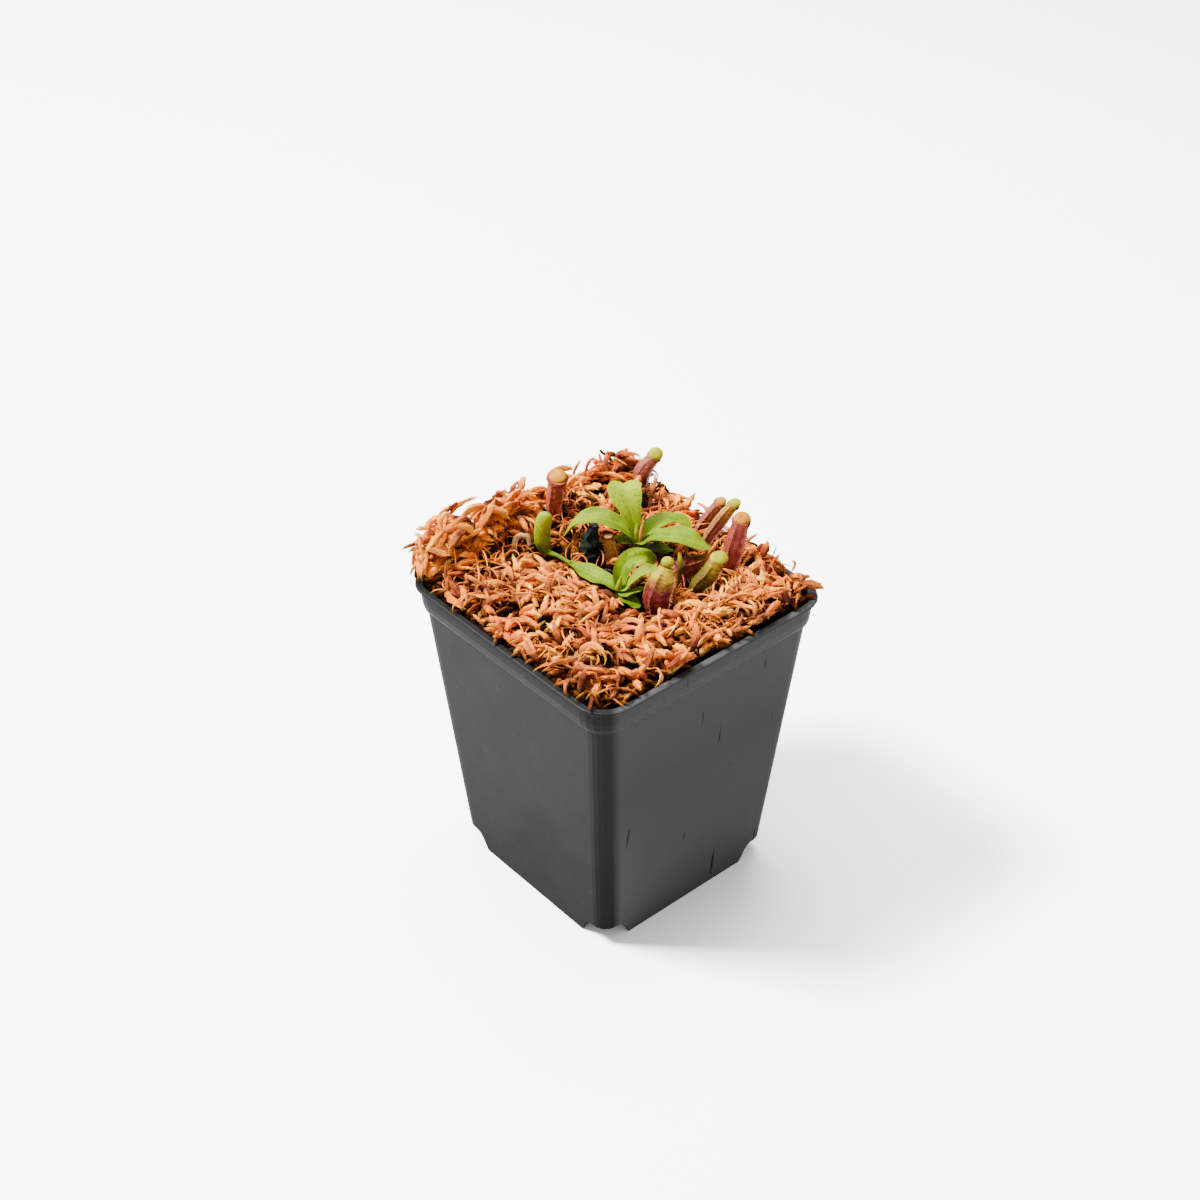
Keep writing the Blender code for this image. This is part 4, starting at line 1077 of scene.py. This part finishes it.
def oval(bm, centre, normal, size, dent=0.0):
    """A shallow oval cap facing along a normal, with a slight dent on top."""
    facing = Vector(normal).normalized()
    side = facing.cross(Vector((0.0, 0.0, 1.0))).normalized()
    deep = side.cross(facing)
    made = bmesh.ops.create_uvsphere(bm, u_segments=28, v_segments=16, radius=1.0)
    for vert in made["verts"]:
        local = vert.co.copy()
        middle = math.exp(-(local.x ** 2 + local.y ** 2) * 3.0) if local.z > 0.0 else 0.0
        local.z = local.z * (1.0 - dent * middle)
        frill = 1.0 + 0.06 * noise.noise(local * 3.0 + Vector(centre))
        local.x *= frill
        local.y *= frill
        vert.co = (Vector(centre) + side * (local.x * 0.5 * size[0])
                   + deep * (local.y * 0.5 * size[1]) + facing * (local.z * 0.5 * size[2]))


PITCHERS = {
    "pitcher_back_left": dict(
        line=[(-29.8, 3.4, 98.0), (-30.6, 2.8, 106.0), (-31.8, 3.2, 112.0), (-31.2, 3.6, 117.0),
              (-30.6, 3.8, 122.4)],
        radii=(0.9, 1.2, 2.4, 2.9, 2.8), lid=(-30.6, 3.9, 123.3), normal=(0.35, -0.3, 0.9),
        size=(5.4, 5.0, 2.2), colour="salmon", cap="lid", wing=0.5),
    "pitcher_back": dict(
        line=[(-30.0, 36.0, 98.0), (-30.2, 36.4, 106.0), (-29.6, 37.2, 111.6),
              (-27.8, 40.2, 116.6)],
        radii=(1.6, 2.6, 2.8, 2.0), lid=(-27.5, 40.6, 117.6), normal=(0.5, -0.2, 0.85),
        size=(4.7, 4.5, 2.6), colour="purple", cap="lid_green", wing=0.5),
    "pitcher_right_tall": dict(
        line=[(17.4, 25.6, 98.0), (18.2, 27.0, 104.0), (18.6, 29.6, 110.5), (18.5, 32.4, 119.4)],
        radii=(1.7, 2.7, 3.1, 2.5), lid=(18.4, 32.8, 120.3), normal=(0.4, -0.35, 0.85),
        size=(5.0, 4.4, 2.2), colour="crimson", cap="lid", wing=1.1),
    "pitcher_right_tan": dict(
        line=[(4.6, 28.6, 97.0), (5.2, 31.8, 106.2), (6.4, 36.2, 112.0), (8.2, 39.2, 117.0)],
        radii=(1.1, 1.6, 2.0, 1.6), lid=(8.5, 39.6, 117.8), normal=(0.45, -0.35, 0.8),
        size=(3.6, 3.2, 1.6), colour="tan", cap="lid_green", wing=0.7),
    "pitcher_right_rear": dict(
        line=[(-3.8, 33.4, 97.0), (-2.0, 36.4, 105.4), (-0.4, 38.4, 109.6), (1.6, 40.2, 114.0)],
        radii=(1.2, 1.8, 2.0, 1.6), lid=(2.0, 40.4, 114.8), normal=(0.4, -0.3, 0.85),
        size=(3.2, 3.0, 1.5), colour="purple", cap="lid", wing=0.6),
    "pitcher_front": dict(
        line=[(17.9, 1.2, 98.5), (17.8, 0.8, 102.6), (17.3, 1.2, 107.0), (17.0, 3.2, 111.0),
              (16.7, 5.2, 114.4)],
        radii=(1.4, 3.7, 4.5, 4.1, 2.6), lid=(16.2, 5.6, 116.0), normal=(0.1, -0.2, 0.9),
        size=(3.9, 3.4, 3.4), colour="belly", cap="lid_green", wing=0.7),
    "pitcher_maroon": dict(
        line=[(6.6, 11.0, 97.5), (9.0, 13.2, 104.2), (11.6, 16.2, 106.4), (13.6, 19.8, 107.4),
              (14.8, 22.4, 108.3)],
        radii=(1.2, 2.7, 3.2, 2.8, 2.0), lid=(15.0, 23.0, 108.9), normal=(0.4, 0.2, 0.85),
        size=(3.2, 3.0, 1.4), colour="maroon", cap="lid", wing=1.0),
    "pitcher_green": dict(
        line=[(16.8, 13.6, 97.5), (18.4, 15.9, 104.2), (20.0, 18.6, 107.6), (21.0, 21.0, 112.0)],
        radii=(1.2, 2.4, 2.9, 2.4), lid=(21.0, 21.4, 112.8), normal=(0.35, -0.1, 0.9),
        size=(5.6, 4.8, 2.4), colour="green", cap="lid_green", wing=0.6),
    "pitcher_withered": dict(
        line=[(-8.4, 7.6, 97.0), (-9.4, 7.0, 104.0), (-10.4, 5.9, 111.4)],
        radii=(2.2, 2.6, 1.6), lid=None, colour="withered", cap=None, wing=0.6),
}


def make_pitcher(name, spec):
    """One pitcher: a winged tube that swells and draws in, with its hairs, rim and lid."""
    bm = bmesh.new()
    tube(bm, spec["line"], spec["radii"], sides=32, rows=56, ribs=spec["wing"], ragged=0.1)
    piece_from(bm, name + "_tube", FINISH[spec["colour"]], (name,))
    bm = bmesh.new()
    fringe(bm, spec)
    piece_from(bm, name + "_hairs", FINISH["fringe"], (name,))
    mouth = spec["line"][-1]
    normal = spec.get("normal", (0.1, -0.1, 1.0))
    bm = bmesh.new()
    mouth_ring(bm, mouth, normal, spec["radii"][-1], 0.4)
    piece_from(bm, name + "_rim", FINISH["rim"], (name,))
    if spec["lid"]:
        bm = bmesh.new()
        oval(bm, spec["lid"], spec["normal"], spec["size"], dent=0.12)
        piece_from(bm, name + "_lid", FINISH[spec["cap"]], (name,))


DRY_PIECES = {
    "shoot_blackened": dict(
        points=[(-12.0, 0.4, 97.0), (-12.2, 0.6, 104.5), (-12.4, 1.2, 109.6),
                (-11.0, 1.4, 117.0)],
        radii=(1.8, 2.8, 2.3, 1.2), flat=0.75, finish="dead", slot="dead", ragged=0.9),
    "leaf_withered_orange": dict(
        points=[(-17.2, 3.4, 98.0), (-18.0, 1.2, 104.0), (-19.8, 0.4, 107.8)],
        radii=(0.8, 2.0, 0.7), flat=0.35, finish="dry", slot="dry"),
    "leaf_withered_dark": dict(
        points=[(-8.0, 2.0, 98.0), (-5.6, 1.4, 102.4), (-3.4, 1.6, 104.4)],
        radii=(0.6, 1.7, 0.6), flat=0.4, finish="plum", slot="twig"),
    "curl_dry": dict(
        points=[(-28.0, -15.4, 98.0), (-28.6, -15.2, 106.4), (-28.9, -13.4, 109.9),
                (-27.0, -11.4, 110.2), (-25.9, -11.2, 107.6)],
        radii=(0.5, 0.8, 0.9, 0.8, 0.5), flat=0.6, finish="pale_dry", slot="dry"),
    "stub_curled": dict(
        points=[(14.0, 10.0, 98.0), (13.4, 12.6, 106.4), (13.4, 13.2, 109.6),
                (11.6, 14.6, 113.0)],
        radii=(0.5, 0.8, 0.9, 0.5), flat=0.6, finish="green", slot="pitcher_green"),
    "twig_left": dict(
        points=[(-38.6, -37.2, 97.0), (-40.6, -37.6, 104.0), (-43.6, -36.6, 109.0),
                (-45.4, -34.8, 112.6)],
        radii=(0.5, 0.55, 0.5, 0.4), flat=1.0, finish="twig", slot="twig"),
    "twig_back": dict(
        points=[(-38.8, 36.8, 97.0), (-40.9, 35.5, 109.0), (-43.7, 31.9, 114.8)],
        radii=(0.6, 0.7, 0.4), flat=1.0, finish="twig", slot="twig"),
    "twig_middle": dict(
        points=[(-28.8, 12.8, 98.0), (-28.4, 12.2, 107.0), (-27.6, 11.4, 112.2)],
        radii=(0.5, 0.6, 0.4), flat=1.0, finish="twig", slot="twig"),
}


def make_plant():
    """Every leaf, stem, pitcher and dry piece of the plant."""
    for name, spec in LEAVES.items():
        make_blade(name, spec)
    bm = bmesh.new()
    tone = bm.verts.layers.float.new("tone")
    age = bm.verts.layers.float.new("age")
    tube(bm, TENDRIL, TENDRIL_RADII, rows=60, flat=0.75, closed=0.1)
    for vert in bm.verts:
        vert[age] = -0.3
        vert[tone] = 0.25 + 0.8 * min(max((vert.co.z - 109.0) / 9.0, 0.0), 1.0)
    piece_from(bm, "bud", FINISH["leaf"], ("leaf_lower_left",))
    for number, (points, radii, finish) in enumerate(YOUNG_SHOOTS):
        bm = bmesh.new()
        tube(bm, points, radii, sides=14, rows=20)
        piece_from(bm, "young_shoot_" + "abc"[number], FINISH[finish])
    for name, (foot, top, radius_foot, radius_top) in STEMS.items():
        bm = bmesh.new()
        tube(bm, [foot, top], (radius_foot, radius_top), rows=12)
        piece_from(bm, name + "_skin", FINISH["stem"], (name,))
    for name, spec in PITCHERS.items():
        make_pitcher(name, spec)
    for name, spec in DRY_PIECES.items():
        bm = bmesh.new()
        tube(bm, spec["points"], spec["radii"], sides=16, rows=30, flat=spec["flat"],
             ragged=spec.get("ragged", 0.25))
        piece_from(bm, name + "_skin", FINISH[spec["finish"]], (name,))


# Studio

def area_light(name, place, size, power, colour=(1.0, 1.0, 1.0)):
    """A square soft light that faces the pot."""
    light = bpy.data.lights.new(name, "AREA")
    light.shape = "SQUARE"
    light.size = size
    light.energy = power
    light.color = colour
    thing = bpy.data.objects.new(name, light)
    bpy.context.scene.collection.objects.link(thing)
    thing.location = place
    facing = Vector((0.0, 0.0, 0.06)) - Vector(place)
    thing.rotation_euler = facing.to_track_quat("-Z", "Y").to_euler()


def make_studio():
    """Pale floor, even pale light from all round and two soft lights."""
    bm = bmesh.new()
    bmesh.ops.create_grid(bm, x_segments=1, y_segments=1, size=6.0)
    mesh = bpy.data.meshes.new("floor")
    bm.to_mesh(mesh)
    bm.free()
    shade = Shade("floor_pale", 0.9, Specular_IOR_Level=0.1)
    seen = shade.node("ShaderNodeLightPath").outputs["Is Camera Ray"]
    pale = shade.ramp(shade.grain(2.0), ((0.0, 0.6), (1.0, 0.62)))
    shade.colour(shade.mix(seen, pale, (1.9, 1.9, 1.9)))
    mesh.materials.append(shade.material)
    floor = bpy.data.objects.new("floor", mesh)
    bpy.context.scene.collection.objects.link(floor)
    world = bpy.data.worlds.new("studio")
    bpy.context.scene.world = world
    world.use_nodes = True
    back = world.node_tree.nodes["Background"]
    back.inputs["Color"].default_value = (1.0, 1.0, 1.0, 1.0)
    back.inputs["Strength"].default_value = 0.62
    area_light("key_light", (-0.62, -0.66, 1.3), 0.4, 92.0)
    area_light("top_light", (-0.25, 0.25, 1.5), 0.7, 26.0)


def make_camera():
    """The camera at the photograph's angle, looking down at the pot's near corner."""
    lens = bpy.data.cameras.new("camera")
    lens.sensor_fit = "HORIZONTAL"
    lens.sensor_width = 36.0
    lens.lens = 60.42
    lens.clip_start = 0.01
    lens.clip_end = 50.0
    thing = bpy.data.objects.new("camera", lens)
    bpy.context.scene.collection.objects.link(thing)
    turn = Matrix(((0.65553, -0.44505, 0.61009), (0.75517, 0.38633, -0.52960),
                   (0.0, 0.80789, 0.58934)))
    thing.matrix_world = Matrix.Translation((0.359816, -0.318372, 0.446838)) @ turn.to_4x4()
    bpy.context.scene.camera = thing


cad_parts["pot"].data.materials.clear()
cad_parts["pot"].data.materials.append(FINISH["pot"])
make_core()
make_moss()
make_plant()
make_studio()
make_camera()
